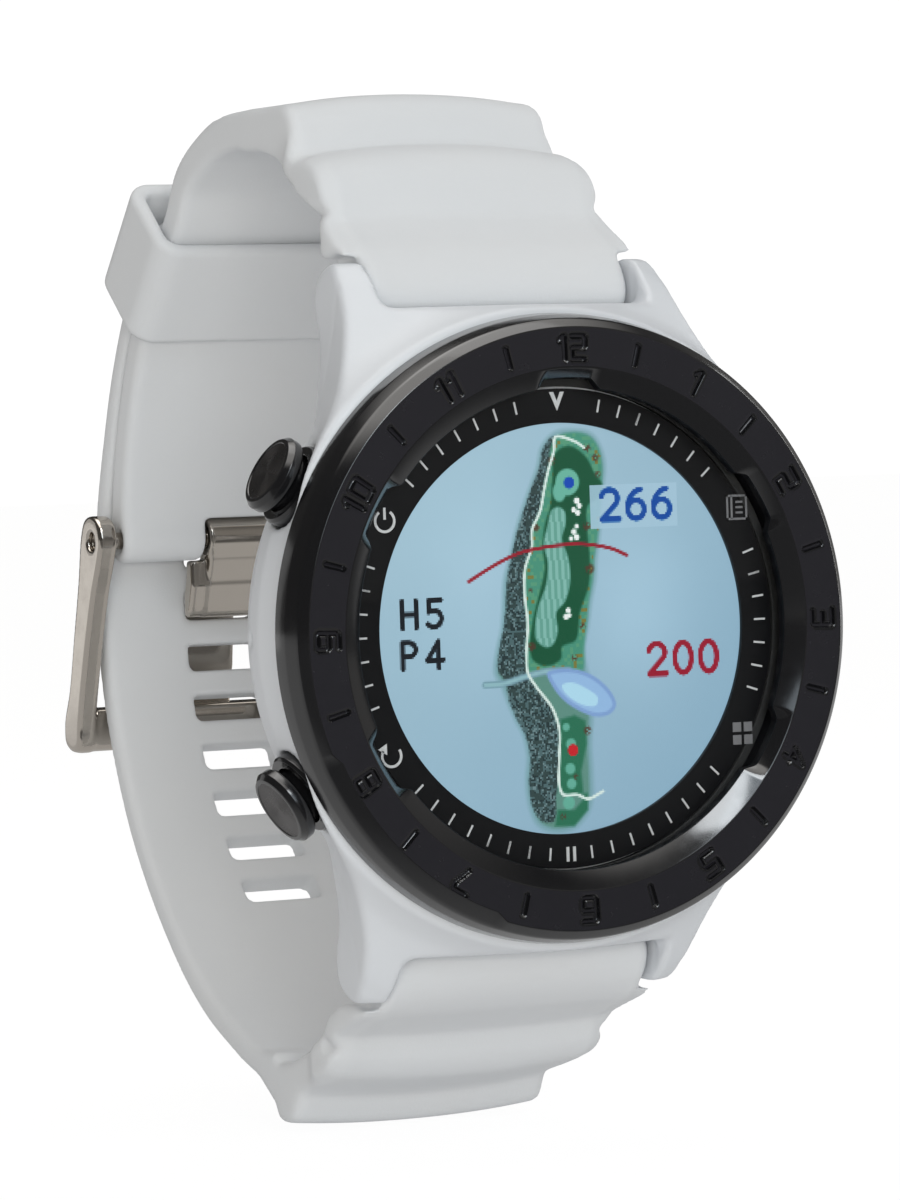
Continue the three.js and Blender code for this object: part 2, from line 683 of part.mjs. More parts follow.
function keeperBlock(halfX, halfOut, halfAlong) {
  const centre = onBackArc(UPPER_ARC_R + 1.35, KEEPER_DEGREES);
  return new THREE.BoxGeometry(2 * halfX, 2 * halfOut, 2 * halfAlong)
    .rotateX(radians(KEEPER_DEGREES))
    .translate(0, ...centre);
}
add('strap_keeper', 'silicone', cut(
  keeperBlock(KEEPER.openX + KEEPER.wall, KEEPER.openOut + KEEPER.wall, KEEPER.halfAlong),
  keeperBlock(KEEPER.openX, KEEPER.openOut, 6),
));

// ---------------------------------------------------------------- buckle
// (y, z) outlines
const BUCKLE_ARM = [
  [45.25, 9.0], [46.6, 8.7], [47.4, 7.4], [48.3, 3.5], [49.6, -1.0], [50.9, -5.5],
  [52.1, -8.2], [52.0, -9.9], [50.6, -10.6], [49.3, -10.2], [48.9, -8.4], [48.0, -5.2],
  [46.6, -1.0], [45.2, 2.6], [43.9, 5.2], [43.3, 7.0], [43.8, 8.4],
];
const CROSS_BAR = [
  [49.2, -7.2], [51.6, -7.4], [52.1, -8.2], [52.0, -9.9],
  [50.6, -10.6], [49.5, -10.3], [49.1, -9.0],
];
const TONGUE = [
  [44.0, 6.2], [46.2, 6.2], [46.3, 4.0], [46.95, 2.05], [47.2, 1.35], [51.8, 1.3],
  [52.5, 0.9], [53.6, -8.2], [53.4, -10.2], [52.7, -10.4], [52.45, -9.0], [51.5, 0.25],
  [46.5, 0.3], [45.9, 0.7], [44.9, 3.2], [44.2, 5.0],
];

// two arms joined by a bar at their lower ends
function buckleFrame() {
  const body = join(
    ...[-1, 1].map((side) => prism(BUCKLE_ARM, onSide(side, 11.4, 13.0))),
    prism(CROSS_BAR, centred(11.6)),
  );
  return cut(body, rod(0.78, centred(14), 16, BUCKLE_BAR_AT));
}

// eye on the bar, leg out through the slot in use, tip down over the cross bar
function buckleTongue() {
  const body = join(
    prism(TONGUE, centred(2.7)),
    rod(1.75, centred(2.9), 24, BUCKLE_BAR_AT),
  );
  return cut(body, rod(0.8, centred(4), 16, BUCKLE_BAR_AT));
}
add('buckle_frame', 'steel', buckleFrame());
add('buckle_tongue', 'steel', buckleTongue());

export default group;
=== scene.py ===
# Golf GPS wristwatch, closed on its strap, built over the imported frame.
# The dial faces -Y, +Z points to 12 o'clock and +X to 3 o'clock; the strap loops behind at +Y.
# Pieces are drawn in millimetres and become metres in add_piece(); the stage is in metres.
import math
import numpy as np
import bpy
from mathutils import Vector, Matrix

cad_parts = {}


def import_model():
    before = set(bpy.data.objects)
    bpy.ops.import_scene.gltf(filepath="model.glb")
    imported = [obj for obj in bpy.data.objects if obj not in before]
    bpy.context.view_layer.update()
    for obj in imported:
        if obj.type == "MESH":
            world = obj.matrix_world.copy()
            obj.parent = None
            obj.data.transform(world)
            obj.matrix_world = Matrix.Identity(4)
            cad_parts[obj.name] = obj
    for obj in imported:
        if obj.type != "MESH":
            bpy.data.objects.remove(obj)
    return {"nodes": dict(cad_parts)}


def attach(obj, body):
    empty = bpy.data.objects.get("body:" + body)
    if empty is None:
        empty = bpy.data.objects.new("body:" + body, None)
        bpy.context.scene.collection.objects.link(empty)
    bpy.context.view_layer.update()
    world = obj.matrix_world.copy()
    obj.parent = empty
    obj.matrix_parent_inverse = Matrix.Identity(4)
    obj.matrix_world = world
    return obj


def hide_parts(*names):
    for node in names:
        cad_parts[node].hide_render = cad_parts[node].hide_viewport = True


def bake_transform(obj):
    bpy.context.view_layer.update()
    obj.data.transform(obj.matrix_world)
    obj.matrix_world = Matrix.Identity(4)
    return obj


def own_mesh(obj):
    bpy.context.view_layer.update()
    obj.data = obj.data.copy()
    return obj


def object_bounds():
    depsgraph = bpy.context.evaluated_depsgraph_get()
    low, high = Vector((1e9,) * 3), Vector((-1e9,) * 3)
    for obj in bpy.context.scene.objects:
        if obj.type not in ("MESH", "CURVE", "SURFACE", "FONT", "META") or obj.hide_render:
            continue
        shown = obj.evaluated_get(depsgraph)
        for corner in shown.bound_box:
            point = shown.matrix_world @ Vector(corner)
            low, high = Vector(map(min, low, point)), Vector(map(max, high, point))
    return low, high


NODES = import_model()["nodes"]
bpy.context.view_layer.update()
MM = 0.001

# ------------------------------------------------------------ shared sizes
BAR_Y, BAR_Z = -0.7, 25.6               # spring bars, at +Z and -Z
LUG_GAP = 11.3                          # half the gap between a pair of lugs
BUTTONS = {"ul": -60, "ll": -120, "ur": 60, "lr": 120}      # degrees clockwise from 12
BUTTON_Y = -7.1
SCREW_OFF = 13.36                       # back screws, from the middle in x and z
SCREWS = [(x * SCREW_OFF, z * SCREW_OFF) for z in (1, -1) for x in (1, -1)]
CONTACT_XS = (-2.7, -0.9, 0.9, 2.7)
CONTACT_Z = -9.0
GLASS_R = 18.6
MASK_FRONT = -12.05                     # y of the dial ring's front and of the gasket's
BEZEL_FRONT = -14.75
BUCKLE_Y, BUCKLE_Z = 45.25, 6.9         # buckle bar
STRAP_HALF = 11.0
STRAP_CENTRE = (7.4, 3.4)               # (y, z) centre of the round part of the strap


# ------------------------------------------------------------ curves and fields
# A field is a signed distance sampled on a grid, negative inside the shape.
def axes(low, high, step):
    return [np.arange(a - 2 * step, b + 2.5 * step, step) for a, b in zip(low, high)]


def surface_mesh(field, ax):
    """Quads on the zero surface of a field: one vertex per crossed cell, pulled onto it."""
    field = field.astype(np.float32)
    shape = field.shape
    step = np.array([a[1] - a[0] for a in ax])
    origin = np.array([a[0] for a in ax])
    total = np.zeros(tuple(n - 1 for n in shape) + (3,), np.float32)
    count = np.zeros(total.shape[:3], np.float32)
    crossings = []
    for k in range(3):
        low, high = [slice(None)] * 3, [slice(None)] * 3
        low[k], high[k] = slice(0, -1), slice(1, None)
        a, b = field[tuple(low)], field[tuple(high)]
        crossed = (a < 0) != (b < 0)
        part = np.where(crossed, a / np.where(crossed, a - b, 1), 0).astype(np.float32)
        crossings.append((crossed, a < 0))
        u, v = [m for m in range(3) if m != k]
        for du, dv in np.ndindex(2, 2):
            near = [slice(None)] * 3
            near[u] = slice(1 - du, shape[u] - du)
            near[v] = slice(1 - dv, shape[v] - dv)
            hit = crossed[tuple(near)]
            count += hit
            total[..., k] += part[tuple(near)]
            total[..., u] += hit * (1 - du)
            total[..., v] += hit * (1 - dv)
    active = count > 0
    index = np.full(count.shape, -1, np.int64)
    index[active] = np.arange(int(active.sum()))
    points = np.argwhere(active) + total[active] / count[active][:, None]

    quads = []
    for k, (crossed, starts_inside) in enumerate(crossings):
        u, v = (k + 1) % 3, (k + 2) % 3
        edges = np.argwhere(crossed)
        eu, ev = edges[:, u], edges[:, v]
        edges = edges[(eu > 0) & (ev > 0) & (eu < shape[u] - 1) & (ev < shape[v] - 1)]
        corners = []
        for du, dv in ((-1, -1), (0, -1), (0, 0), (-1, 0)):
            cell = edges.copy()
            cell[:, u] += du
            cell[:, v] += dv
            corners.append(index[tuple(cell.T)])
        quad = np.stack(corners, 1)
        flip = ~starts_inside[tuple(edges.T)]
        quad[flip] = quad[flip][:, ::-1]
        quads.append(quad)

    def sample(at):
        at = np.clip(at, 0, np.array(shape) - 1.001)
        cell = at.astype(int)
        part = at - cell
        out = 0
        for corner in np.ndindex(2, 2, 2):
            weight = np.prod(np.where(corner, part, 1 - part), 1)
            out = out + weight * field[tuple((cell + corner).T)]
        return out
    reach = 0.4 * step[0]
    for _ in range(3):
        slope = np.stack([sample(points + d) - sample(points - d) for d in np.eye(3) * 0.5], 1)
        slope = slope / step[0]
        steep = np.maximum((slope * slope).sum(1), 0.25)
        move = np.clip(sample(points) / steep, -reach, reach)
        points = points - move[:, None] * slope / step
    return points * step + origin, np.concatenate(quads)


def curve(points, steps, closed=False):
    """Centripetal curve through the points."""
    pts = np.array(points, float)
    if closed:
        pts = np.vstack([pts[-1], pts, pts[0], pts[1]])
    else:
        pts = np.vstack([2 * pts[0] - pts[1], pts, 2 * pts[-1] - pts[-2]])

    def between(p, q, start, end):
        return (end - t) / (end - start) * p + (t - start) / (end - start) * q
    out = []
    for i in range(1, len(pts) - 2):
        p = pts[i - 1:i + 3]
        knots = [0.0]
        for a, b in zip(p, p[1:]):
            knots.append(knots[-1] + max(np.hypot(*(b - a)), 1e-6) ** 0.5)
        t0, t1, t2, t3 = knots
        for t in np.linspace(t1, t2, steps, endpoint=False):
            a1 = between(p[0], p[1], t0, t1)
            a2 = between(p[1], p[2], t1, t2)
            a3 = between(p[2], p[3], t2, t3)
            b1 = between(a1, a2, t0, t2)
            b2 = between(a2, a3, t1, t3)
            out.append(between(b1, b2, t1, t2))
    if not closed:
        out.append(pts[-2])
    return np.array(out)


def curve_normals(points):
    along = np.gradient(points, axis=0)
    along /= np.linalg.norm(along, axis=1)[:, None]
    return np.stack([-along[:, 1], along[:, 0]], 1)


def line_distance(u, v, points, closed=False):
    starts = np.array(points, float)
    ends = np.roll(starts, -1, 0) if closed else starts[1:]
    dist = np.full(np.broadcast(u, v).shape, 1e9)
    for p, q in zip(starts, ends):
        e = q - p
        t = np.clip(((u - p[0]) * e[0] + (v - p[1]) * e[1]) / max(e @ e, 1e-12), 0, 1)
        dist = np.minimum(dist, (u - p[0] - e[0] * t) ** 2 + (v - p[1] - e[1] * t) ** 2)
    return np.sqrt(dist)


def polygon_field(u, v, points):
    pts = np.array(points, float)
    dist = line_distance(u, v, pts, True)
    inside = np.zeros(dist.shape, bool)
    for p, q in zip(pts, np.roll(pts, -1, 0)):
        if p[1] == q[1]:
            continue
        side = u < (q[0] - p[0]) * (v - p[1]) / (q[1] - p[1]) + p[0]
        inside ^= ((p[1] > v) != (q[1] > v)) & side
    return np.where(inside, -dist, dist)


def spun_field(profile, ax, step):
    """Field of a profile of (radius, y) points turned about Y."""
    radius = np.hypot(*np.ix_(ax[0], ax[2]))
    samples = np.arange(0, radius.max() + 0.3, step)
    table = polygon_field(samples[:, None], ax[1][None, :], profile)
    place = radius / step
    low = place.astype(int)
    part = (place - low)[..., None]
    high = np.minimum(low + 1, len(samples) - 1)
    return np.transpose(table[low] * (1 - part) + table[high] * part, (0, 2, 1))


def round_both(a, b, r):
    """Intersection of two fields with a rounded edge."""
    outside = np.hypot(np.maximum(a + r, 0), np.maximum(b + r, 0))
    return np.minimum(np.maximum(a + r, b + r), 0) + outside - r


def soft_min(a, b, k):
    h = np.maximum(k - np.abs(a - b), 0) / k
    return np.minimum(a, b) - h * h * k * 0.25


def soft_max(a, b, k):
    return -soft_min(-a, -b, k)


def box_field(u, v, half_u, half_v, r):
    return round_both(np.abs(u) - half_u, np.abs(v) - half_v, r)


def smoothstep(t):
    t = np.clip(t, 0, 1)
    return t * t * (3 - 2 * t)


# ------------------------------------------------------------ meshes from profiles
def round_corners(points, closed=False, steps=4):
    """Round the corners of a profile of (radius, height[, corner radius]) points."""
    pts = [(*p, 0.0)[:3] for p in points]
    out = []
    last = len(pts) - 1
    for i, (r, h, bend) in enumerate(pts):
        if bend <= 0 or (not closed and i in (0, last)):
            out.append((r, h))
            continue
        before, corner, after = (np.array(p[:2]) for p in (pts[i - 1], (r, h), pts[(i + 1) % (last + 1)]))
        len_in, len_out = np.linalg.norm(before - corner), np.linalg.norm(after - corner)
        to_in, to_out = (before - corner) / len_in, (after - corner) / len_out
        half = math.acos(np.clip(to_in @ to_out, -1, 1)) / 2
        trim = min(bend / math.tan(half), 0.49 * len_in, 0.49 * len_out)
        p, q = corner + to_in * trim, corner + to_out * trim
        for k in range(steps + 1):
            s = k / steps
            out.append(tuple((1 - s) ** 2 * p + 2 * s * (1 - s) * corner + s * s * q))
    return out


def face_outward(verts, faces):
    """Reverse every face if the closed mesh has negative volume."""
    a, b, c, d = verts[np.array([(*f[:3], f[-1]) for f in faces])].transpose(1, 0, 2)
    volume = (a * np.cross(c - a, d - b)).sum()
    return [f[::-1] for f in faces] if volume < 0 else faces


def lathe(profile, segments, closed=False):
    """Turn (radius, z) points round local Z."""
    angles = np.linspace(0, 2 * math.pi, segments, endpoint=False)
    verts, rows = [], []
    for r, z in profile:
        if r < 1e-6:
            rows.append([len(verts)])
            verts.append((0, 0, z))
        else:
            rows.append(list(range(len(verts), len(verts) + segments)))
            verts += [(r * math.cos(t), r * math.sin(t), z) for t in angles]
    faces = []
    for i in range(len(rows) if closed else len(rows) - 1):
        a, b = rows[i], rows[(i + 1) % len(rows)]
        if len(a) == 1 and len(b) == 1:
            continue
        for j in range(segments):
            k = (j + 1) % segments
            if len(a) == 1:
                faces.append([a[0], b[k], b[j]])
            elif len(b) == 1:
                faces.append([a[j], a[k], b[0]])
            else:
                faces.append([a[j], a[k], b[k], b[j]])
    verts = np.array(verts)
    return verts, face_outward(verts, faces)


def lathe_y(profile, segments, closed=True):
    """Turn (radius, y) points round Y."""
    v, faces = lathe(profile, segments, closed)
    return np.stack([v[:, 0], v[:, 2], -v[:, 1]], 1), faces


def lathe_x(profile, segments, y, z, side=1):
    """Turn (radius, x) points round a line along X, pointing to +X or -X by side."""
    v, faces = lathe(profile, segments)
    return np.stack([side * v[:, 2], v[:, 0] + y, side * v[:, 1] + z], 1), faces


def prism(outline, y0, y1):
    """Prism from an (x, z) outline, given any way round, between two y values."""
    pts = np.array(outline, float)
    ahead = np.roll(pts, -1, 0)
    if np.sum(pts[:, 0] * ahead[:, 1] - ahead[:, 0] * pts[:, 1]) < 0:
        pts = pts[::-1]
    n = len(pts)
    verts = [(x, y0, z) for x, z in pts] + [(x, y1, z) for x, z in pts]
    faces = [list(range(n)), list(range(2 * n - 1, n - 1, -1))]
    for i in range(n):
        j = (i + 1) % n
        faces.append([i, n + i, n + j, j])
    return np.array(verts), faces


def join(parts):
    verts, faces, n = [], [], 0
    for v, f in parts:
        verts.append(v)
        faces += [[i + n for i in face] for face in f]
        n += len(v)
    return np.vstack(verts), faces


def add_piece(name, mesh, materials, replaced=(), body="case", slot=None, smooth=True,
              sharp=None, place=None, face_slots=None):
    verts, faces = mesh
    me = bpy.data.meshes.new(name)
    me.from_pydata((verts * MM).tolist(), [], [list(map(int, f)) for f in faces])
    me.update()
    if smooth:
        me.shade_smooth()
        if sharp:
            me.set_sharp_from_angle(angle=math.radians(sharp))
    for key in materials:
        me.materials.append(MATERIALS[key])
    if face_slots is not None:
        me.polygons.foreach_set("material_index", np.asarray(face_slots, np.int32))
    ob = bpy.data.objects.new(name, me)
    bpy.context.scene.collection.objects.link(ob)
    if place is not None:
        ob.matrix_world = place
    if body:
        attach(ob, body)
    if replaced:
        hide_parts(*replaced)
        slot or materials[0]
    return ob


# ------------------------------------------------------------ materials
class Shader:
    """Short way to build a node tree. An input is linked if given a socket, else set."""

    def __init__(self, owner):
        owner.use_nodes = True
        self.tree = owner.node_tree
        self.nodes = self.tree.nodes

    def fill(self, node, inputs):
        for key, value in inputs.items():
            if isinstance(value, bpy.types.NodeSocket):
                self.tree.links.new(value, node.inputs[key])
            else:
                node.inputs[key].default_value = value

    def node(self, kind, inputs={}, out=0, **settings):
        """Add a node and return one of its output sockets."""
        node = self.nodes.new("ShaderNode" + kind)
        for key, value in settings.items():
            setattr(node, key, value)
        self.fill(node, inputs)
        return node.outputs[out]

    def ramp(self, value, low, high, start=0.0, end=1.0, **settings):
        """Map start..end to low..high."""
        return self.node("MapRange", {"Value": value, "From Min": start, "From Max": end,
                                      "To Min": low, "To Max": high}, **settings)

    def smooth_ramp(self, value, **limits):
        return self.ramp(value, interpolation_type="SMOOTHSTEP", **limits)

    def math(self, operation, *values):
        return self.node("Math", dict(enumerate(values)), operation=operation)

    def mix(self, factor, a, b):
        return self.node("Mix", {0: factor, 2: a, 3: b})

    def mix_colour(self, factor, a, b, **settings):
        return self.node("Mix", {0: factor, 6: a, 7: b}, out=2, data_type="RGBA", **settings)


def surface(name, colour, rough, metal=0.0, mottle=0.015, mottle_scale=0.12, rough_spread=0.05,
            rough_scale=0.5, grain=0.01, grain_scale=4.0, coat=0.0, coat_rough=0.08, tint=None,
            brushed=0.0, specular=0.5, scratch=0.0):
    """Mottled material. Scales are noise cycles per mm; grain is the bump height in mm."""
    material = bpy.data.materials.new(name)
    s = Shader(material)
    coords = s.node("TexCoord", out="Object")
    in_mm = s.node("Mapping", {"Vector": coords, "Scale": (1000, 1000, 1000)})

    def noise(scale, detail, roughness, vector=in_mm):
        return s.node("TexNoise", {"Vector": vector, "Scale": scale, "Detail": detail,
                                   "Roughness": roughness})
    base = s.mix_colour(noise(scale=mottle_scale, detail=3, roughness=0.55),
                        (*[c * (1 - mottle) for c in colour], 1),
                        (*[c * (1 + mottle) for c in (tint or colour)], 1))
    roughness = s.ramp(noise(scale=rough_scale, detail=4, roughness=0.55), start=0.3, end=0.7,
                       low=rough - rough_spread, high=rough + rough_spread)
    height = noise(scale=grain_scale, detail=2, roughness=0.6)
    if scratch:
        # long thin noise, turned out of line with the axes
        skewed = s.node("Mapping", {"Vector": coords, "Scale": (900, 120, 2600),
                                    "Rotation": (0.3, 0.5, 0.4)})
        lines = noise(scale=1.3, detail=2, roughness=0.5, vector=skewed)
        height = s.math("MULTIPLY_ADD", lines, scratch, height)
    bump = s.node("Bump", {"Strength": 1.0, "Distance": grain * MM, "Height": height})
    shader = s.nodes["Principled BSDF"]
    s.fill(shader, {"Base Color": base, "Roughness": roughness, "Normal": bump,
                    "Metallic": metal, "Coat Weight": coat, "Coat Roughness": coat_rough,
                    "Specular IOR Level": specular})
    if brushed:
        tangent = s.node("Tangent", direction_type="RADIAL", axis="Z")
        s.fill(shader, {"Anisotropic": brushed, "Tangent": tangent})
    return material


def glass_material():
    """Clear sheet that reflects on its front faces only."""
    material = bpy.data.materials.new("cover_glass")
    s = Shader(material)
    s.nodes.remove(s.nodes["Principled BSDF"])
    coords = s.node("TexCoord", out="Object")
    noise = s.node("TexNoise", {"Vector": coords, "Scale": 900, "Detail": 3})
    bump = s.node("Bump", {"Distance": 0.000002, "Height": noise})
    rough = s.ramp(noise, low=0.015, high=0.05)
    clear = s.node("BsdfTransparent", {"Color": (0.985, 0.99, 0.99, 1)})
    gloss = s.node("BsdfGlossy", {"Roughness": rough, "Normal": bump})
    back_face = s.node("NewGeometry", out="Backfacing")
    share = s.math("MULTIPLY", s.node("Fresnel", {"IOR": 1.36}), s.math("SUBTRACT", 1.0, back_face))
    mixed = s.node("MixShader", {0: share, 1: clear, 2: gloss})
    s.fill(s.nodes["Material Output"], {"Surface": mixed})
    return material


def screen_material():
    """Lit picture from the corner colours in the attribute "Col"."""
    material = bpy.data.materials.new("lit_display")
    s = Shader(material)
    picture = s.node("Attribute", attribute_name="Col", out="Color")
    coords = s.node("TexCoord", out="Object")
    noise = s.node("TexNoise", {"Vector": coords, "Scale": 120, "Detail": 2})
    uneven = s.ramp(noise, low=0.94, high=1.0)
    dim = (0.12, 0.12, 0.12, 1)
    s.fill(s.nodes["Principled BSDF"], {
        "Emission Color": s.mix_colour(1.0, picture, uneven, blend_type="MULTIPLY"),
        "Emission Strength": 0.93,
        "Base Color": s.mix_colour(1.0, picture, dim, blend_type="MULTIPLY"),
        "Roughness": s.ramp(noise, low=0.35, high=0.5)})
    return material


MATERIALS = {
    "case_white": surface("white_case", colour=(0.70, 0.725, 0.76), rough=0.42, mottle=0.012,
                          grain=0.006, grain_scale=6, coat=0.05, coat_rough=0.3),
    "silicone": surface("white_silicone", colour=(0.70, 0.722, 0.748), rough=0.62,
                        tint=(0.71, 0.722, 0.735), mottle_scale=0.08, rough_spread=0.07,
                        grain=0.012, grain_scale=5, specular=0.35),
    "bezel_black": surface("bezel_satin_land", colour=(0.0155, 0.015, 0.019), rough=0.24,
                           mottle=0.1, rough_spread=0.04, rough_scale=0.9, grain=0.0025,
                           grain_scale=9, specular=0.42),
    "bezel_gloss": surface("bezel_polished_bevel", colour=(0.006, 0.006, 0.007), rough=0.14,
                           mottle=0.1, rough_spread=0.03, rough_scale=0.9, grain=0.0008,
                           grain_scale=6, coat=0.4, coat_rough=0.1, specular=0.7),
    "black_metal": surface("button_black", colour=(0.007, 0.007, 0.008), rough=0.16,
                           mottle=0.1, rough_spread=0.04, rough_scale=1.2, grain=0.0012,
                           grain_scale=12, coat=0.3, coat_rough=0.06, specular=0.6),
    "button_face": surface("button_turned_face", colour=(0.11, 0.105, 0.105), rough=0.27,
                           metal=0.9, mottle=0.1, rough_spread=0.04, grain=0.001,
                           grain_scale=14, brushed=0.85),
    "print_grey": surface("dial_print_grey", colour=(0.2, 0.2, 0.21), rough=0.5, mottle=0.05,
                          mottle_scale=1.0, grain=0.002, grain_scale=8),
    "dial_black": surface("dial_black", colour=(0.004, 0.004, 0.005), rough=0.4, mottle=0.1,
                          grain=0.002, grain_scale=8, specular=0.3),
    "print": surface("dial_print", colour=(0.62, 0.63, 0.64), rough=0.5, mottle=0.05,
                     mottle_scale=1.0, grain=0.002, grain_scale=8),
    "nickel": surface("polished_nickel", colour=(0.55, 0.505, 0.45), rough=0.13, metal=1.0,
                      mottle=0.03, rough_spread=0.04, rough_scale=0.8, grain=0.0015,
                      grain_scale=3, scratch=0.25),
    "steel": surface("steel", colour=(0.56, 0.56, 0.56), rough=0.3, metal=1.0, mottle=0.04,
                     rough_spread=0.06, rough_scale=1.2, grain=0.003, grain_scale=6,
                     scratch=0.6),
    "back_steel": surface("back_steel", colour=(0.55, 0.55, 0.55), rough=0.32, metal=1.0,
                          mottle=0.04, rough_spread=0.06, rough_scale=0.6, grain=0.0015,
                          grain_scale=5, brushed=0.6, scratch=0.15),
    "plastic": surface("dark_plastic", colour=(0.045, 0.047, 0.05), rough=0.55, mottle=0.1,
                       rough_spread=0.08, grain_scale=5),
    "pcb": surface("solder_mask", colour=(0.02, 0.12, 0.055), rough=0.4, mottle=0.25,
                   mottle_scale=0.8, rough_spread=0.08, grain_scale=3),
    "gold": surface("gold_contact", colour=(0.75, 0.55, 0.22), rough=0.25, metal=1.0,
                    mottle=0.05, rough_spread=0.06, grain=0.002, grain_scale=6),
    "ceramic": surface("ceramic", colour=(0.62, 0.58, 0.50), rough=0.5, mottle=0.06,
                       rough_spread=0.08),
    "pouch": surface("foil_pouch", colour=(0.5, 0.52, 0.54), rough=0.35, metal=0.6,
                     mottle=0.06, rough_spread=0.1, grain=0.03, grain_scale=1.2),
    "rubber": surface("black_rubber", colour=(0.02, 0.02, 0.02), rough=0.8, mottle=0.15,
                      rough_spread=0.08, grain_scale=6),
    "glass": glass_material(),
    "screen": screen_material(),
}

# ------------------------------------------------------------ case middle
CASE_STEP = 0.3
# (radius, y[, corner radius])
CASE_RING = [(17.45, -11.35), (22.0, -11.35, 0.5), (22.5, -10.8, 0.5), (22.5, -6.5, 4),
             (22.1, -4.2, 2.5), (21.4, -2.5, 1.5), (20.6, -1.5, 0.8), (20.2, -1.3, 0.2),
             (17.1, -1.3), (17.1, -3.4), (17.45, -3.4)]
# (radius, y) of the turned front that runs out over the end pieces and the lugs
FRONT_SLOPE = [(23.6, -11.25), (23.96, -10.95), (24.12, -10.5), (24.45, -9.65), (25.1, -8.45),
               (26.1, -7.4), (27.9, -5.8), (28.8, -4.95), (29.8, -3.8), (30.5, -2.8), (31.3, -1.2)]
# (y, z) side view of a lug's tip and back
LUG_BACK = [(-6.0, 27.4), (-4.2, 27.6), (-2.6, 27.65), (-1.2, 27.6), (0.2, 26.9), (0.8, 25.7),
            (0.35, 23.4), (-0.8, 21.5), (-1.6, 19.0)]
# stations along a lug, (z, value): half width at the front and at the back, y of front and back
LUG_FRONT_HALF = [(0, 22.5), (3, 22.45), (6, 22.1), (9, 21.4), (12, 20.5), (14.2, 19.35),
                  (16.0, 18.1), (17.8, 16.85), (19.6, 15.8), (21.5, 15.0), (22.9, 14.5),
                  (24.2, 14.15), (26.35, 13.8), (27.4, 13.5), (29, 13.2)]
LUG_BACK_HALF = [(0, 16.2), (12, 15.6), (15, 15.2), (18.4, 14.6), (20.4, 14.2), (22.9, 13.7),
                 (24.5, 13.6), (26, 13.5), (27.4, 13.2), (29, 13.0)]
LUG_FRONT_Y = [(0, -11.3), (14.2, -11), (16, -10.5), (17.8, -9.65), (19.6, -8.4), (21.5, -7.4),
               (22.9, -6.65), (24.2, -5.8), (26.35, -4.2), (27.4, -2.8), (29, -2.4)]
LUG_BACK_Y = [(0, -2), (15, -2), (19, -1.5), (21.5, -0.9), (23.4, 0.3), (25.6, 0.7), (29, 0.5)]


def button_direction(degrees):
    return (math.sin(math.radians(degrees)), 0.0, math.cos(math.radians(degrees)))


def lug_half_width(ax):
    """Half width over (y, z): wide at the front face, drawn in towards the back."""
    kernel = np.hanning(11)
    kernel /= kernel.sum()
    stations = np.arange(-2, 32, CASE_STEP)

    def smoothed(table):
        value = np.pad(np.interp(np.abs(stations), *np.transpose(table)), 5, mode="edge")
        return np.interp(np.abs(ax[2]), stations, np.convolve(value, kernel, "valid"))[None, :]
    wide, narrow, front, back = map(
        smoothed, (LUG_FRONT_HALF, LUG_BACK_HALF, LUG_FRONT_Y, LUG_BACK_Y))
    share = np.clip((back - ax[1][:, None]) / (back - front), -0.1, 1.12)
    return narrow + (wide - narrow) * share


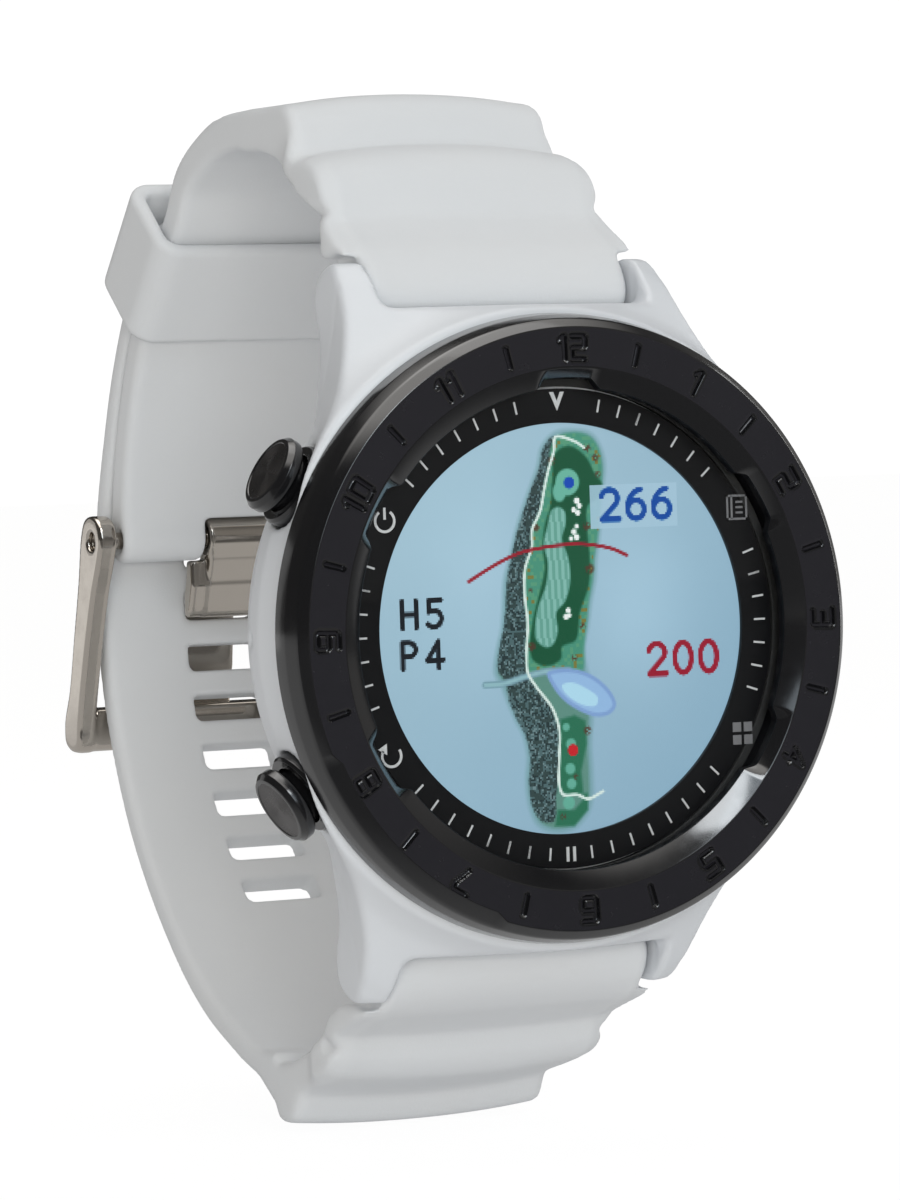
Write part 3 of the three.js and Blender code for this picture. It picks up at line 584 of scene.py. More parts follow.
def case_mesh():
    ax = axes((-22.9, -11.6, -28.7), (22.9, 2.0, 28.7), CASE_STEP)
    x, y, z = np.ix_(*ax)
    radius = np.hypot(x, z)
    side_view = np.ix_(ax[1], np.abs(ax[2]))
    ring = spun_field(round_corners(CASE_RING, True), ax, 0.12)
    front = spun_field([(0, -11.3), (23.3, -11.3), *curve(FRONT_SLOPE, 5), (31.6, 4), (0, 4)],
                       ax, 0.12)
    # lugs
    outline = [(-13, 0.0), (-13, 26.0), *curve(LUG_BACK, 6), (-2.0, 15.5), (-2.0, 0.0)]
    lug = polygon_field(*side_view, outline)[None]
    lug = round_both(lug, (np.abs(x) - lug_half_width(ax)[None]) * 0.9, 0.42)
    lug = round_both(lug, LUG_GAP - np.abs(x), 0.3)
    # end pieces between the lugs, hollowed round the spring bars
    outline = [(-13, 0.0), (-13, 24.15), (-4.0, 24.15),
               *curve([(-3.4, 24.1), (-2.6, 22.6), (-1.7, 20.6)], 4), (-1.5, 16), (-1.5, 0)]
    end = np.maximum(polygon_field(*side_view, outline)[None], np.abs(x) - 12.2)
    body = round_both(soft_min(lug, end, 1.0), front, 0.4)
    hollow = 3.62 - np.hypot(y - BAR_Y, np.abs(z) - BAR_Z)
    body = soft_max(body, np.minimum(hollow, LUG_GAP - np.abs(x)), 0.3)
    field = soft_min(ring, np.maximum(body, 21.0 - radius), 0.9)
    # bore, wider in its front part
    field = np.maximum(field, np.where(radius < 20, 17.1 - radius, -1e9))
    field = np.maximum(field, np.where(y < -3.4, 17.45 - radius, -50.0))
    for degrees in BUTTONS.values():
        d = button_direction(degrees)
        out = x * d[0] + z * d[2]
        off = np.hypot(x * d[2] - z * d[0], y - BUTTON_Y)
        field = soft_max(field, -np.maximum(off - 3.3, 20.95 - out), 0.3)
        for hole_r, floor in ((1.5, 18.3), (1.0, 16.6)):
            hole = np.maximum(np.maximum(off - hole_r, floor - out), out - 21.5)
            field = np.maximum(field, -hole)
    for s in (-1, 1):
        bar_hole = np.hypot(y - BAR_Y, z - s * BAR_Z) - 0.5
        field = np.maximum(field, -np.maximum(bar_hole, np.abs(x) - 12.95))
    for sx, sz in SCREWS:
        hole = np.maximum(np.hypot(x - sx, z - sz) - 0.66, -3.1 - y)
        field = np.maximum(field, -np.maximum(hole, y - 1))
    # small round hole in the side at 9 o'clock
    field = soft_max(field, -np.maximum(np.hypot(y + 4.5, z) - 0.42, x + 16.8), 0.35)
    # parting line round the side of the case
    field = field + 0.07 * np.exp(-((y + 3.95) / 0.16) ** 2) * (radius > 19)
    return surface_mesh(field, ax)


add_piece("case_middle_shell", case_mesh(), ["case_white"], ["case_middle"])

# ------------------------------------------------------------ bezel with engraved numerals
BEZEL_SEGMENTS = 1308
LAND_POINTS = 34                        # points across the flat front
NUMERAL_R = 20.73
NUMERAL_H = 1.72
NUMERAL_GAP = 0.62
NOTCHES = (0, 60, 120, 240, 300)        # degrees clockwise from 12
# strokes of each figure in a unit square, (across, outward)
FIGURE_LOOP = [(0, 0.08), (0, 0.92), (0.1, 1), (0.9, 1), (1, 0.92), (1, 0.08), (0.9, 0), (0.1, 0),
               (0, 0.08)]
FIGURES = {
    "0": [FIGURE_LOOP],
    "1": [[(0.0, 0.80), (0.8, 1.0), (1.0, 1.0), (1.0, 0.0)]],
    "2": [[(0, 1), (0.9, 1), (1, 0.92), (1, 0.58), (0.9, 0.5), (0.1, 0.5), (0, 0.42), (0, 0),
           (1, 0)]],
    "3": [[(0, 1), (0.9, 1), (1, 0.92), (1, 0.08), (0.9, 0), (0, 0)], [(0.22, 0.5), (1, 0.5)]],
    "4": [[(0.74, 0), (0.74, 1), (0.02, 0.32), (1, 0.32)]],
    "5": [[(1, 1), (0, 1), (0, 0.52), (0.9, 0.52), (1, 0.44), (1, 0.08), (0.9, 0), (0, 0)]],
    "6": [[(0.95, 1), (0.1, 1), (0, 0.92), (0, 0.08), (0.1, 0), (0.9, 0), (1, 0.08), (1, 0.46),
           (0.9, 0.54), (0, 0.54)]],
    "7": [[(0, 1), (0.9, 1), (1, 0.92), (1, 0.7), (0.45, 0)]],
    "8": [FIGURE_LOOP, [(0, 0.52), (1, 0.52)]],
    "9": [[(0, 0), (0.9, 0), (1, 0.08), (1, 0.92), (0.9, 1), (0.1, 1), (0, 0.92), (0, 0.54),
           (0.1, 0.46), (1, 0.46)]],
}


def bezel_section(notch, wide):
    """(radius, y) section and the count of points before the land; both shares are 0 to 1."""
    lip = 17.82 + 0.74 * notch
    inner, outer = 19.28, 22.3 - 0.5 * wide
    front = BEZEL_FRONT
    before = round_corners([
        (18.75, -11.4), (18.75, -13.15), (lip, -13.15, 0.06), (lip, -13.92, 0.12),
        (inner, front, 0.22), (inner + 0.5, front)])[:-1]
    after = round_corners([
        (outer - 0.5, front), (outer, front, 0.14), (22.93, -14.1, 0.75), (23.28, -12.8, 1.6),
        (23.42, -11.4, 0.1), (21.6, -11.4)], steps=5)[1:]
    a, b = before[-1][0] + 0.02, after[0][0] - 0.02
    land = [(a + (b - a) * t, front) for t in np.linspace(0, 1, LAND_POINTS)]
    return np.array(before + land + after), len(before)


def numeral_strokes():
    """(degrees from 12, points as (across, radial)) for the hour figures and the bars between."""
    for hour in range(1, 13):
        text = str(hour)
        widths = [0.42 if ch == "1" else (1.15 if len(text) == 1 else 1.05) for ch in text]
        left = -(sum(widths) + NUMERAL_GAP * (len(text) - 1)) / 2
        for ch, width in zip(text, widths):
            for line in FIGURES[ch]:
                yield hour * 30, [(left + a * width, (b - 0.5) * NUMERAL_H) for a, b in line]
            left += width + NUMERAL_GAP
        yield hour * 30 + 15, [(0, -0.72), (0, 0.72)]


def bezel_mesh():
    angle = np.arange(BEZEL_SEGMENTS) * 2 * math.pi / BEZEL_SEGMENTS    # clockwise from 12
    degrees = np.degrees(angle)
    notch = np.zeros(BEZEL_SEGMENTS)
    for at in NOTCHES:
        away = np.abs((degrees - at + 180) % 360 - 180)
        notch = np.maximum(notch, np.clip((9.0 - away) / 3.6, 0, 1))
    notch = smoothstep(notch)
    # the outer chamfer is wider from 198 to 248.5 degrees
    wide = np.clip((degrees - 198) / 2.5, 0, 1) * np.clip((248.5 - degrees) / 2.5, 0, 1)
    sections = [bezel_section(round(float(a), 4), round(float(b), 4))
                for a, b in zip(notch, wide)]
    first = sections[0][1]
    radius, height = np.array([points for points, _ in sections]).transpose(2, 0, 1)
    count = radius.shape[1]

    land = slice(first - 1, first + LAND_POINTS + 1)
    dist = np.full(radius[:, land].shape, 9.0)
    for at, points in numeral_strokes():
        away = (degrees - at + 180) % 360 - 180
        near = np.abs(away) < 14
        across = np.radians(away[near])[:, None] * NUMERAL_R
        line = line_distance(across, radius[near, land] - NUMERAL_R, points)
        dist[near] = np.minimum(dist[near], line)
    # cut the strokes in, with a slight raised edge
    height = height.copy()
    height[:, land] += (0.28 * smoothstep((0.20 - dist) / 0.085)
                        - 0.022 * np.exp(-((dist - 0.265) / 0.06) ** 2))
    verts = np.stack([radius * np.sin(angle)[:, None], height,
                      radius * np.cos(angle)[:, None]], 2).reshape(-1, 3)
    i, j = np.meshgrid(np.arange(BEZEL_SEGMENTS), np.arange(count), indexing="ij")
    row, next_row = i * count, ((i + 1) % BEZEL_SEGMENTS) * count
    j_next = (j + 1) % count
    faces = np.stack([row + j, row + j_next, next_row + j_next, next_row + j], 2).reshape(-1, 4)

    on_land = (j >= first) & (j < first + LAND_POINTS - 1)
    wall = np.zeros(radius.shape, bool)
    wall[:, land] = (dist > 0.08) & (dist < 0.33)
    deep = np.minimum(height, np.roll(height, -1, 1)) > -13.97
    inner = (j < first) & deep | (j == count - 1)
    face_slots = np.where(on_land & ~wall, 0, np.where(inner, 2, 1)).reshape(-1)
    return (verts, face_outward(verts, faces)), face_slots


mesh, face_slots = bezel_mesh()
add_piece("bezel_ring_engraved", mesh, ["bezel_black", "bezel_gloss", "dial_black"],
          ["bezel_ring"], face_slots=face_slots, sharp=50)

# ------------------------------------------------------------ glass, gasket and dial ring
GLASS_FRONT, GLASS_BACK = -13.1, -12.1
GASKET_R, GASKET_BACK = 17.95, -11.4

profile = round_corners([(0, GLASS_FRONT), (GLASS_R, GLASS_FRONT, 0.12),
                         (GLASS_R, GLASS_BACK, 0.08), (0, GLASS_BACK)])
add_piece("cover_glass_disc", lathe_y(profile, 192, False), ["glass"], ["cover_glass"], sharp=40)
profile = round_corners([(GASKET_R, MASK_FRONT, 0.1), (GLASS_R, MASK_FRONT, 0.1),
                         (GLASS_R, GASKET_BACK, 0.1), (GASKET_R, GASKET_BACK, 0.1)], True)
add_piece("lens_gasket_ring", lathe_y(profile, 160), ["rubber"], ["lens_gasket"])
profile = round_corners([(15.25, MASK_FRONT, 0.04), (17.8, MASK_FRONT, 0.04), (17.8, -11.75),
                         (15.25, -11.75)], True)
add_piece("dial_ring_mask", lathe_y(profile, 240), ["dial_black"], ["dial_ring"], sharp=40)

# ------------------------------------------------------------ dial print
PRINT_FRONT, PRINT_BACK = -12.10, -12.045
HOOK_R = 0.78                           # arcs of the power symbol and the return arrow
# centre lines of the menu card's strokes, (x, z) from its middle
MENU_CARD = [[(-0.82, -0.95), (-0.82, 0.95)], [(0.82, -0.95), (0.82, 0.95)],
             [(-0.9, 0.87), (0.9, 0.87)], [(-0.9, -0.87), (0.9, -0.87)],
             [(-0.45, -0.87), (-0.45, 0.87)], [(-0.1, 0.4), (0.5, 0.4)],
             [(-0.1, 0.0), (0.5, 0.0)], [(-0.1, -0.4), (0.5, -0.4)]]


def dial_print():
    parts = []

    def block(outline):
        parts.append(prism(outline, PRINT_FRONT, PRINT_BACK))

    def tick(degrees, r0, r1, width, shift=0.0):
        s, c = math.sin(math.radians(degrees)), math.cos(math.radians(degrees))
        a, b = shift - width / 2, shift + width / 2
        block([(u * c + r * s, -u * s + r * c) for u, r in ((a, r0), (b, r0), (b, r1), (a, r1))])

    def band(points, width):
        line = np.array(points, float)
        side = curve_normals(line) * width / 2
        block(np.vstack([line + side, (line - side)[::-1]]))

    def hook(cx, cz, start, end):
        a = np.radians(np.linspace(start, end, 30))
        band(np.stack([cx + HOOK_R * np.cos(a), cz + HOOK_R * np.sin(a)], 1), 0.2)
    for start, stop in ((12, 49), (72, 109), (132, 175)):
        for degrees in range(start, stop, 6):
            tick(degrees, 16.3, 17.25, 0.15)
            tick(-degrees, 16.3, 17.25, 0.15)
    for shift in (-0.28, 0.28):
        tick(180, 16.2, 17.3, 0.24, shift)
    # power symbol at 10
    cx, cz = -14.56, 8.48
    hook(cx, cz, 125, 415)
    band([(cx, cz + 0.1), (cx, cz + 0.98)], 0.2)
    # menu card at 2
    for line in MENU_CARD:
        band([(15.1 + x, 8.49 + z) for x, z in line], 0.16)
    # four squares at 4
    for x in (-0.48, 0.48):
        for z in (-0.48, 0.48):
            block([(15.0 + x + a, -8.55 + z + b)
                   for a, b in ((-0.36, -0.36), (0.36, -0.36), (0.36, 0.36), (-0.36, 0.36))])
    # return arrow at 8: a hook and its head
    cx, cz = -14.62, -8.68
    hook(cx, cz, 150, 395)
    start = math.radians(150)
    tail = np.array([cx + HOOK_R * math.cos(start), cz + HOOK_R * math.sin(start)])
    ahead = np.array([0.45, 0.78])
    ahead = ahead / np.linalg.norm(ahead)
    aside = np.array([-ahead[1], ahead[0]])
    block([tail - ahead * 0.1 + aside * 0.42, tail - ahead * 0.1 - aside * 0.42,
           tail + ahead * 0.62])
    # plain marker at 12
    block([(-0.62, 17.55), (-0.28, 17.55), (0, 16.85), (0.28, 17.55), (0.62, 17.55), (0, 16.15)])
    return join(parts)


verts, faces = dial_print()
# the two icons on the right are printed in grey
grey = [int(verts[f[0]][0] > 13.5 and 7 < abs(verts[f[0]][2]) < 10) for f in faces]
add_piece("dial_markings", (verts, faces), ["print", "print_grey"], face_slots=grey, smooth=False)

# ------------------------------------------------------------ display with the course picture
# outlines and lines, (x, z) from the middle of the dial
COURSE = {
    "hole": [
        (-0.02, 14.4), (-1.09, 13.42), (-1.49, 12.01), (-2.11, 10.61), (-2.74, 9.21), (-3.5, 7.21),
        (-4.02, 5.41), (-4.54, 3.81), (-4.73, 1.79), (-4.9, 0.18), (-5.3, -1.22), (-5.59, -3.02),
        (-5.06, -3.96), (-4.64, -5.09), (-4.01, -6.55), (-3.36, -7.8), (-3.08, -9.44),
        (-3.25, -11.05), (-3.09, -12.89), (-2.45, -14.35), (-1.09, -14.94), (0.54, -14.73),
        (1.61, -13.77), (2.0, -12.78), (2.07, -10.74), (2.03, -8.69), (2.22, -6.87), (2.3, -4.62),
        (1.89, -3.18), (1.71, -1.54), (2.13, 0.28), (2.42, 1.9), (2.83, 3.52), (3.0, 5.14),
        (3.3, 6.76), (3.46, 7.98), (3.79, 10.62), (3.95, 12.05), (3.65, 13.28), (2.99, 14.22),
        (1.61, 14.56)],
    "trees": [
        (-0.25, 14.25), (-1.09, 13.32), (-1.44, 12.01), (-2.11, 10.61), (-2.69, 9.21),
        (-3.5, 7.21), (-4.02, 5.41), (-4.43, 3.81), (-4.61, 1.79), (-4.86, 0.18), (-5.23, -1.22),
        (-5.42, -2.83), (-4.82, -3.77), (-4.59, -5.1), (-3.96, -6.55), (-3.32, -7.8),
        (-2.96, -9.44), (-3.12, -11.06), (-2.98, -12.89), (-2.22, -14.16), (-1.18, -14.22),
        (-0.96, -12.6), (-0.7, -10.58), (-0.59, -7.54), (-1.11, -5.88), (-2.43, -4.19),
        (-3.08, -3.14), (-3.14, -1.72), (-2.94, 0.5), (-3.16, 2.74), (-3.02, 4.56), (-2.44, 6.16),
        (-2.35, 7.37), (-1.65, 8.77), (-1.22, 10.38), (-0.85, 11.79), (-0.34, 13.19)],
    "dark": [
        (-0.07, 12.98), (1.11, 13.52), (2.47, 12.7), (3.23, 11.35), (3.79, 10.62), (3.52, 9.61),
        (2.52, 9.03), (2.44, 7.0), (2.56, 5.16), (2.4, 3.13), (1.58, 1.12), (1.16, -0.9),
        (-0.02, -1.36), (-0.16, -2.26), (-1.34, -2.72), (-2.47, -2.26), (-2.71, -1.33),
        (-2.35, 0.88), (-1.78, 2.68), (-1.26, 4.49), (-1.38, 6.12), (-1.14, 7.74), (-0.62, 9.14),
        (-0.37, 11.16)],
    "mid": [
        (-0.15, 14.0), (1.61, 14.52), (2.98, 14.11), (3.6, 13.28), (3.84, 12.05), (3.79, 10.62),
        (3.3, 6.76), (2.93, 5.14), (2.74, 3.52), (2.35, 1.9), (2.13, 0.28), (1.83, -1.54),
        (1.65, -3.16), (-0.19, -2.98), (-2.63, -3.37), (-2.98, -2.34), (-2.83, 0.5),
        (-3.02, 2.74), (-2.91, 4.56), (-2.28, 6.15), (-2.23, 7.37), (-1.49, 8.76), (-1.09, 10.37),
        (-0.69, 11.78)],
    "fairway": [
        (-0.57, 8.77), (0.02, 9.04), (0.58, 8.69), (0.62, 7.67), (0.28, 6.67), (0.76, 5.23),
        (0.88, 3.59), (0.38, 1.99), (-0.38, 1.2), (-0.32, -0.22), (-0.77, -1.18), (-1.4, -1.35),
        (-2.18, -0.75), (-2.24, 0.27), (-1.93, 1.68), (-1.23, 3.27), (-1.01, 4.89), (-1.3, 6.32),
        (-0.91, 7.73)],
    "tee": [
        (-0.33, -6.73), (0.84, -6.49), (1.75, -6.94), (1.8, -8.68), (1.26, -10.69),
        (1.42, -12.74), (0.58, -13.51), (-0.81, -13.43), (-1.08, -14.63), (0.54, -14.73),
        (1.74, -13.58), (1.74, -12.35), (0.16, -12.36), (-0.57, -12.02), (-0.45, -7.54)],
    "path": [
        (2.38, 13.36), (1.58, 13.85), (-0.02, 14.2), (-0.18, 13.19), (-0.69, 11.78),
        (-1.09, 10.37), (-1.49, 8.76), (-2.23, 7.37), (-2.28, 6.15), (-2.91, 4.56), (-3.02, 2.74),
        (-2.83, 0.5), (-3.02, -1.73), (-2.96, -3.15), (-2.31, -4.2), (-0.99, -5.89),
        (-0.47, -7.54), (-0.55, -9.57), (-0.62, -11.61), (-0.3, -12.34), (0.85, -12.4),
        (1.77, -12.76), (3.07, -12.27)],
    "creek": [(-6.54, -3.89), (-5.05, -3.86), (-3.2, -3.44), (-1.35, -3.12), (0.5, -3.11)],
    "pond": [
        (-1.35, -3.23), (-0.19, -2.98), (1.42, -3.15), (3.02, -3.94), (4.14, -5.12),
        (4.39, -5.95), (3.86, -6.54), (2.69, -6.69), (1.31, -6.21), (-0.05, -5.32),
        (-0.93, -4.26)],
    "pond middle": [
        (-0.12, -4.2), (0.7, -4.04), (1.84, -4.5), (2.86, -5.26), (2.72, -5.83), (1.79, -5.82),
        (0.65, -5.26), (-0.02, -4.61)],
    "arc": [
        (-7.62, 3.79), (-6.11, 4.58), (-4.72, 5.23), (-3.32, 5.73), (-1.48, 6.04), (0.14, 6.19),
        (1.77, 6.21), (3.15, 6.05), (4.54, 5.74), (5.69, 5.24)],
}
# round spots, (x, z, radius)
GREEN = [(0.87, 10.84, 1.0)]
APRON = [(0.17, 10.13, 0.55)]
BUNKERS = [(1.61, 9.43, 0.2), (1.82, 9.06, 0.17), (1.33, 8.77, 0.16), (1.67, 8.55, 0.18),
           (1.54, 7.54, 0.15), (1.29, 7.14, 0.18), (1.51, 6.73, 0.19), (1.04, 6.64, 0.15),
           (0.61, 1.32, 0.17), (0.41, 0.86, 0.19), (0.69, 0.95, 0.14)]
TEES = [(0.11, -7.33, 0.3), (0.48, -8.61, 0.42), (0.35, -10.44, 0.42), (0.42, -11.56, 0.4),
        (0.14, -12.97, 0.5)]
BROWN = [(2.61, 13.31, 0.2), (3.28, 12.58, 0.18), (-0.36, 12.48, 0.2), (2.39, 7.51, 0.2),
         (2.51, 4.34, 0.25), (-2.55, -1.24, 0.22), (1.91, -7.67, 0.2), (1.77, 0.09, 0.15),
         (0.99, -2.22, 0.15), (-0.36, -13.96, 0.15), (3.46, 11.35, 0.15), (-1.88, 7.56, 0.18),
         (0.79, -11.07, 0.12), (-2.51, 2.92, 0.1)]
BLUE_DOT = [(1.01, 10.79, 0.34)]
RED_DOT = [(0.63, -9.07, 0.34)]
SCREEN_R = 15.35
SCREEN_CELLS = 236                      # cells across the display
SCREEN_CELL = 2 * SCREEN_R / SCREEN_CELLS


def oval(cx, cy, rx, ry, start, end, count):
    a = np.radians(np.linspace(start, end, count))
    return [(cx + rx * math.cos(t), cy + ry * math.sin(t)) for t in a]


# strokes of the screen's letters in a unit square
LETTERS = {
    "0": [oval(.5, .5, .44, .5, 0, 360, 28)],
    "2": [oval(.47, .71, .43, .29, 165, -38, 16) + [(.06, 0.0), (.96, 0.0)]],
    "6": [oval(.5, .31, .43, .31, 0, 360, 24), oval(.83, .36, .77, .62, 96, 178, 14)],
    "5": [[(.88, 1), (.16, 1), (.12, .56)] + oval(.43, .31, .47, .31, 112, -140, 20)],
    "4": [[(.74, 0), (.74, 1), (.04, .3), (1.0, .3)]],
    "H": [[(.08, 0), (.08, 1)], [(.92, 0), (.92, 1)], [(.08, .5), (.92, .5)]],
    "P": [[(.1, 0), (.1, 1), (.48, 1)] + oval(.48, .74, .42, .26, 90, -90, 14) + [(.1, .48)]],
}


def course_colours(x, z):
    """Linear colour at each (x, z), painted in layers of 0..255 display values."""
    colours = np.tile(np.array([150, 184, 203.0]), (len(x), 1))
    colours += np.outer((-x * 0.5 + z * 0.5), [1.0, 0.85, 0.6])
    colours += 9 * np.exp(-((x + 6.5) ** 2 / 18 + (z - 4) ** 2 / 50))[:, None]
    colours += 14 * np.exp(-((x - 6.5) ** 2 / 20 + (z - 1) ** 2 / 40))[:, None]

    def scatter(size, a, b, scale):
        """Repeatable 0..1 value for each square of the given size, for the mottled areas."""
        wave = np.sin(np.floor((x + 30) / size) * a + np.floor((z + 30) / size) * b)
        return np.modf(np.abs(wave * scale))[0]
    fine = scatter(SCREEN_CELL, 12.9898, 78.233, 43758.5453)
    coarse = scatter(2 * SCREEN_CELL, 39.346, 11.135, 24634.633)

    def lay(weight, colour):
        nonlocal colours
        weight = np.clip(weight, 0, 1)[:, None]
        colours = colours * (1 - weight) + np.array(colour, float) * weight

    def cover(dist, soft):
        return np.clip(0.5 - dist / soft, 0, 1)

    def outline(name):
        return polygon_field(x, z, curve(COURSE[name], 5, True))

    def area(name, colour, soft, grow=0.0):
        dist = outline(name)
        lay(cover(dist - grow, soft), colour)
        return dist

    def line(name, half, soft, colour):
        lay(cover(line_distance(x, z, curve(COURSE[name], 6)) - half, soft), colour)

    def spots(table, colour, soft, scale=1.0, squash=1.0, share=1.0):
        for cx, cz, r in table:
            dist = np.hypot(x - cx, (z - cz) * squash) - r * scale
            lay(cover(dist, soft) * share, colour)

    def text(letters, left, bottom, top, width, gap, half, colour):
        for i, ch in enumerate(letters):
            a = left + i * (width + gap)
            for stroke in LETTERS[ch]:
                points = [(a + u * width, bottom + v * (top - bottom)) for u, v in stroke]
                lay(cover(line_distance(x, z, points) - half, 0.06), colour)
    area("hole", (112, 156, 162), soft=0.55, grow=0.12)
    area("hole", (92, 140, 128), soft=0.25, grow=-0.2)
    trees = cover(outline("trees"), 0.2)
    lay(trees * 0.95, (74, 100, 104))
    lay(trees * (fine > 0.62) * 0.85, (26, 42, 44))
    lay(trees * (fine < 0.16) * 0.75, (116, 142, 146))
    lay(trees * (coarse > 0.72), (48, 68, 68))
    mid = area("mid", (70, 144, 120), soft=0.3)
    lay((mid < -0.05) * (coarse > 0.7) * 0.5, (100, 160, 120))
    lay((mid < -0.05) * (mid > -0.75) * (coarse < 0.14), (120, 120, 60))
    area("dark", (16, 82, 54), soft=0.22)
    fairway = area("fairway", (100, 160, 146), soft=0.14)
    stripes = np.sin((x + 0.09 * z) * 2 * math.pi / 0.52)
    lay((fairway < -0.12) * (stripes > 0) * 0.7, (140, 194, 184))
    spots(GREEN, (104, 178, 158), soft=0.15)
    spots(APRON, (104, 178, 158), soft=0.15, squash=0.75)
    lay(cover(polygon_field(x, z, COURSE["tee"]), 0.25), (38, 110, 82))
    spots(TEES, (96, 170, 150), soft=0.15)
    spots(BROWN, (84, 54, 40), soft=0.2, scale=1.5, share=0.85 * (fine > 0.2))
    spots(BUNKERS, (236, 242, 240), soft=0.1, scale=1.25)
    line("creek", half=0.26, soft=0.15, colour=(118, 156, 170))
    line("creek", half=0.12, soft=0.1, colour=(140, 182, 190))
    area("pond", (126, 160, 208), soft=0.14)
    area("pond", (146, 184, 224), soft=0.14, grow=-0.3)
    area("pond middle", (172, 216, 236), soft=0.12)
    line("path", half=0.11, soft=0.09, colour=(214, 232, 226))
    line("arc", half=0.13, soft=0.08, colour=(148, 24, 42))
    spots(BLUE_DOT, (8, 70, 178), soft=0.08, scale=1.3)
    spots(RED_DOT, (196, 26, 36), soft=0.08, scale=1.3)
    # plain panel behind the upper number
    lay(((x > 2.68) & (x < 10.1) & (z > 7.34) & (z < 10.49)) * 0.9, (163, 196, 215))
    large = dict(width=1.62, gap=0.58, half=0.215)
    small = dict(width=1.35, gap=0.75, half=0.19, colour=(16, 22, 30))
    text("266", left=3.62, bottom=7.95, top=10.15, colour=(4, 72, 158), **large)
    text("200", left=7.25, bottom=-3.75, top=-1.5, colour=(152, 20, 46), **large)
    text("H5", left=-13.3, bottom=0.58, top=2.54, **small)
    text("P4", left=-13.4, bottom=-2.44, top=-0.5, **small)
    share = np.clip(colours, 0, 255) / 255.0
    return np.where(share <= 0.04045, share / 12.92, ((share + 0.055) / 1.055) ** 2.4)


def add_display():
    middles = (np.arange(SCREEN_CELLS) + 0.5) * SCREEN_CELL - SCREEN_R
    x, z = np.meshgrid(middles, middles, indexing="ij")
    keep = np.hypot(x, z) < SCREEN_R
    colours = course_colours(x[keep], z[keep])
    # one quad for each cell inside the circle
    lines = np.arange(SCREEN_CELLS + 1) * SCREEN_CELL - SCREEN_R
    index = -np.ones((SCREEN_CELLS + 1, SCREEN_CELLS + 1), int)
    i, j = np.nonzero(keep)
    corners = ((0, 0), (1, 0), (1, 1), (0, 1))
    for a, b in corners:
        index[i + a, j + b] = 0
    vi, vj = np.nonzero(index == 0)
    index[vi, vj] = np.arange(len(vi))
    verts = np.stack([lines[vi], np.full(len(vi), -11.72), lines[vj]], 1)
    faces = np.stack([index[i + a, j + b] for a, b in corners], 1)
    module = lathe_y(round_corners([(0, -11.70), (17.2, -11.70, 0.08), (17.2, -10.0, 0.1),
                                    (0, -10.0)]), 160, False)
    mesh = join([(verts, faces), module])
    face_slots = np.arange(len(mesh[1])) >= len(faces)
    ob = add_piece("display_module_lit", mesh, ["screen", "dial_black"], ["display_module"],
                   face_slots=face_slots, smooth=False)
    attribute = ob.data.color_attributes.new("Col", "FLOAT_COLOR", "CORNER")
    values = np.zeros((len(ob.data.loops), 4), np.float32)
    values[:, 3] = 1
    values[:4 * len(faces), :3] = np.repeat(colours, 4, 0)
    attribute.data.foreach_set("color", values.ravel())


add_display()

# ------------------------------------------------------------ case back, screws and contacts
# (radius, y[, corner radius])
BACK_PROFILE = [(-1, -2.1), (16, -2.1, 0.1), (16, -1.2), (20, -1.2, 0.1), (20, -0.8, 0.15),
                (19.3, -0.35, 0.3), (18.2, 0, 0.25), (-1, 0)]


def back_mesh():
    ax = axes((-20, -2.1, -20), (20, 0.0, 20), 0.2)
    x, y, z = np.ix_(*ax)
    field = spun_field(round_corners(BACK_PROFILE, True), ax, 0.1)
    for sx, sz in SCREWS:
        off = np.hypot(x - sx, z - sz)
        field = np.maximum(field, -(off - 0.75))
        field = soft_max(field, -np.maximum(off - 1.35, -0.75 - y), 0.12)
    for cx in CONTACT_XS:
        field = soft_max(field, -(np.hypot(x - cx, z - CONTACT_Z) - 0.55), 0.12)
    # turned grooves
    for r in (11.6, 15.6):
        field = np.maximum(field, 0.16 - np.hypot(np.hypot(x, z) - r, y))
    verts, faces = surface_mesh(field, ax)
    # local Z becomes the back's own axis, which the brushed material turns about
    return np.stack([verts[:, 0], -verts[:, 2], verts[:, 1]], 1), faces


def screw_mesh():
    ax = axes((-1.25, -2.6, -1.25), (1.25, -0.1, 1.25), 0.07)
    x, y, z = np.ix_(*ax)
    off = np.hypot(x, z)
    head = round_both(off - 1.25, np.abs(y + 0.4) - 0.3, 0.1)
    field = np.minimum(head, np.maximum(off - 0.6, np.maximum(-2.6 - y, y + 0.5)))
    cross = np.minimum(box_field(x, z, 0.72, 0.2, 0.05), box_field(x, z, 0.2, 0.72, 0.05))
    field = soft_max(field, -np.maximum(cross, -0.38 - y), 0.06)
    thread = 0.035 * np.sin((y / 0.32 + np.arctan2(z, x) / (2 * math.pi)) * 2 * math.pi)
    return surface_mesh(field + np.where((y < -0.75) & (off > 0.45), thread, 0), ax)


def contacts_mesh():
    profile = round_corners([(0, -2.45), (0.42, -2.45), (0.42, -0.12, 0.2), (0, -0.12)])
    verts, faces = lathe_y(profile, 32, False)
    parts = [(verts + np.array([x, 0, CONTACT_Z]), faces) for x in CONTACT_XS]
    plate = [(-4.1, -10.8), (4.1, -10.8), (4.2, -10.6), (4.2, -7.3), (4.1, -7.2), (-4.1, -7.2),
             (-4.2, -7.3), (-4.2, -10.6)]
    return join(parts + [prism(curve(plate, 3, True), -2.65, -2.25)])


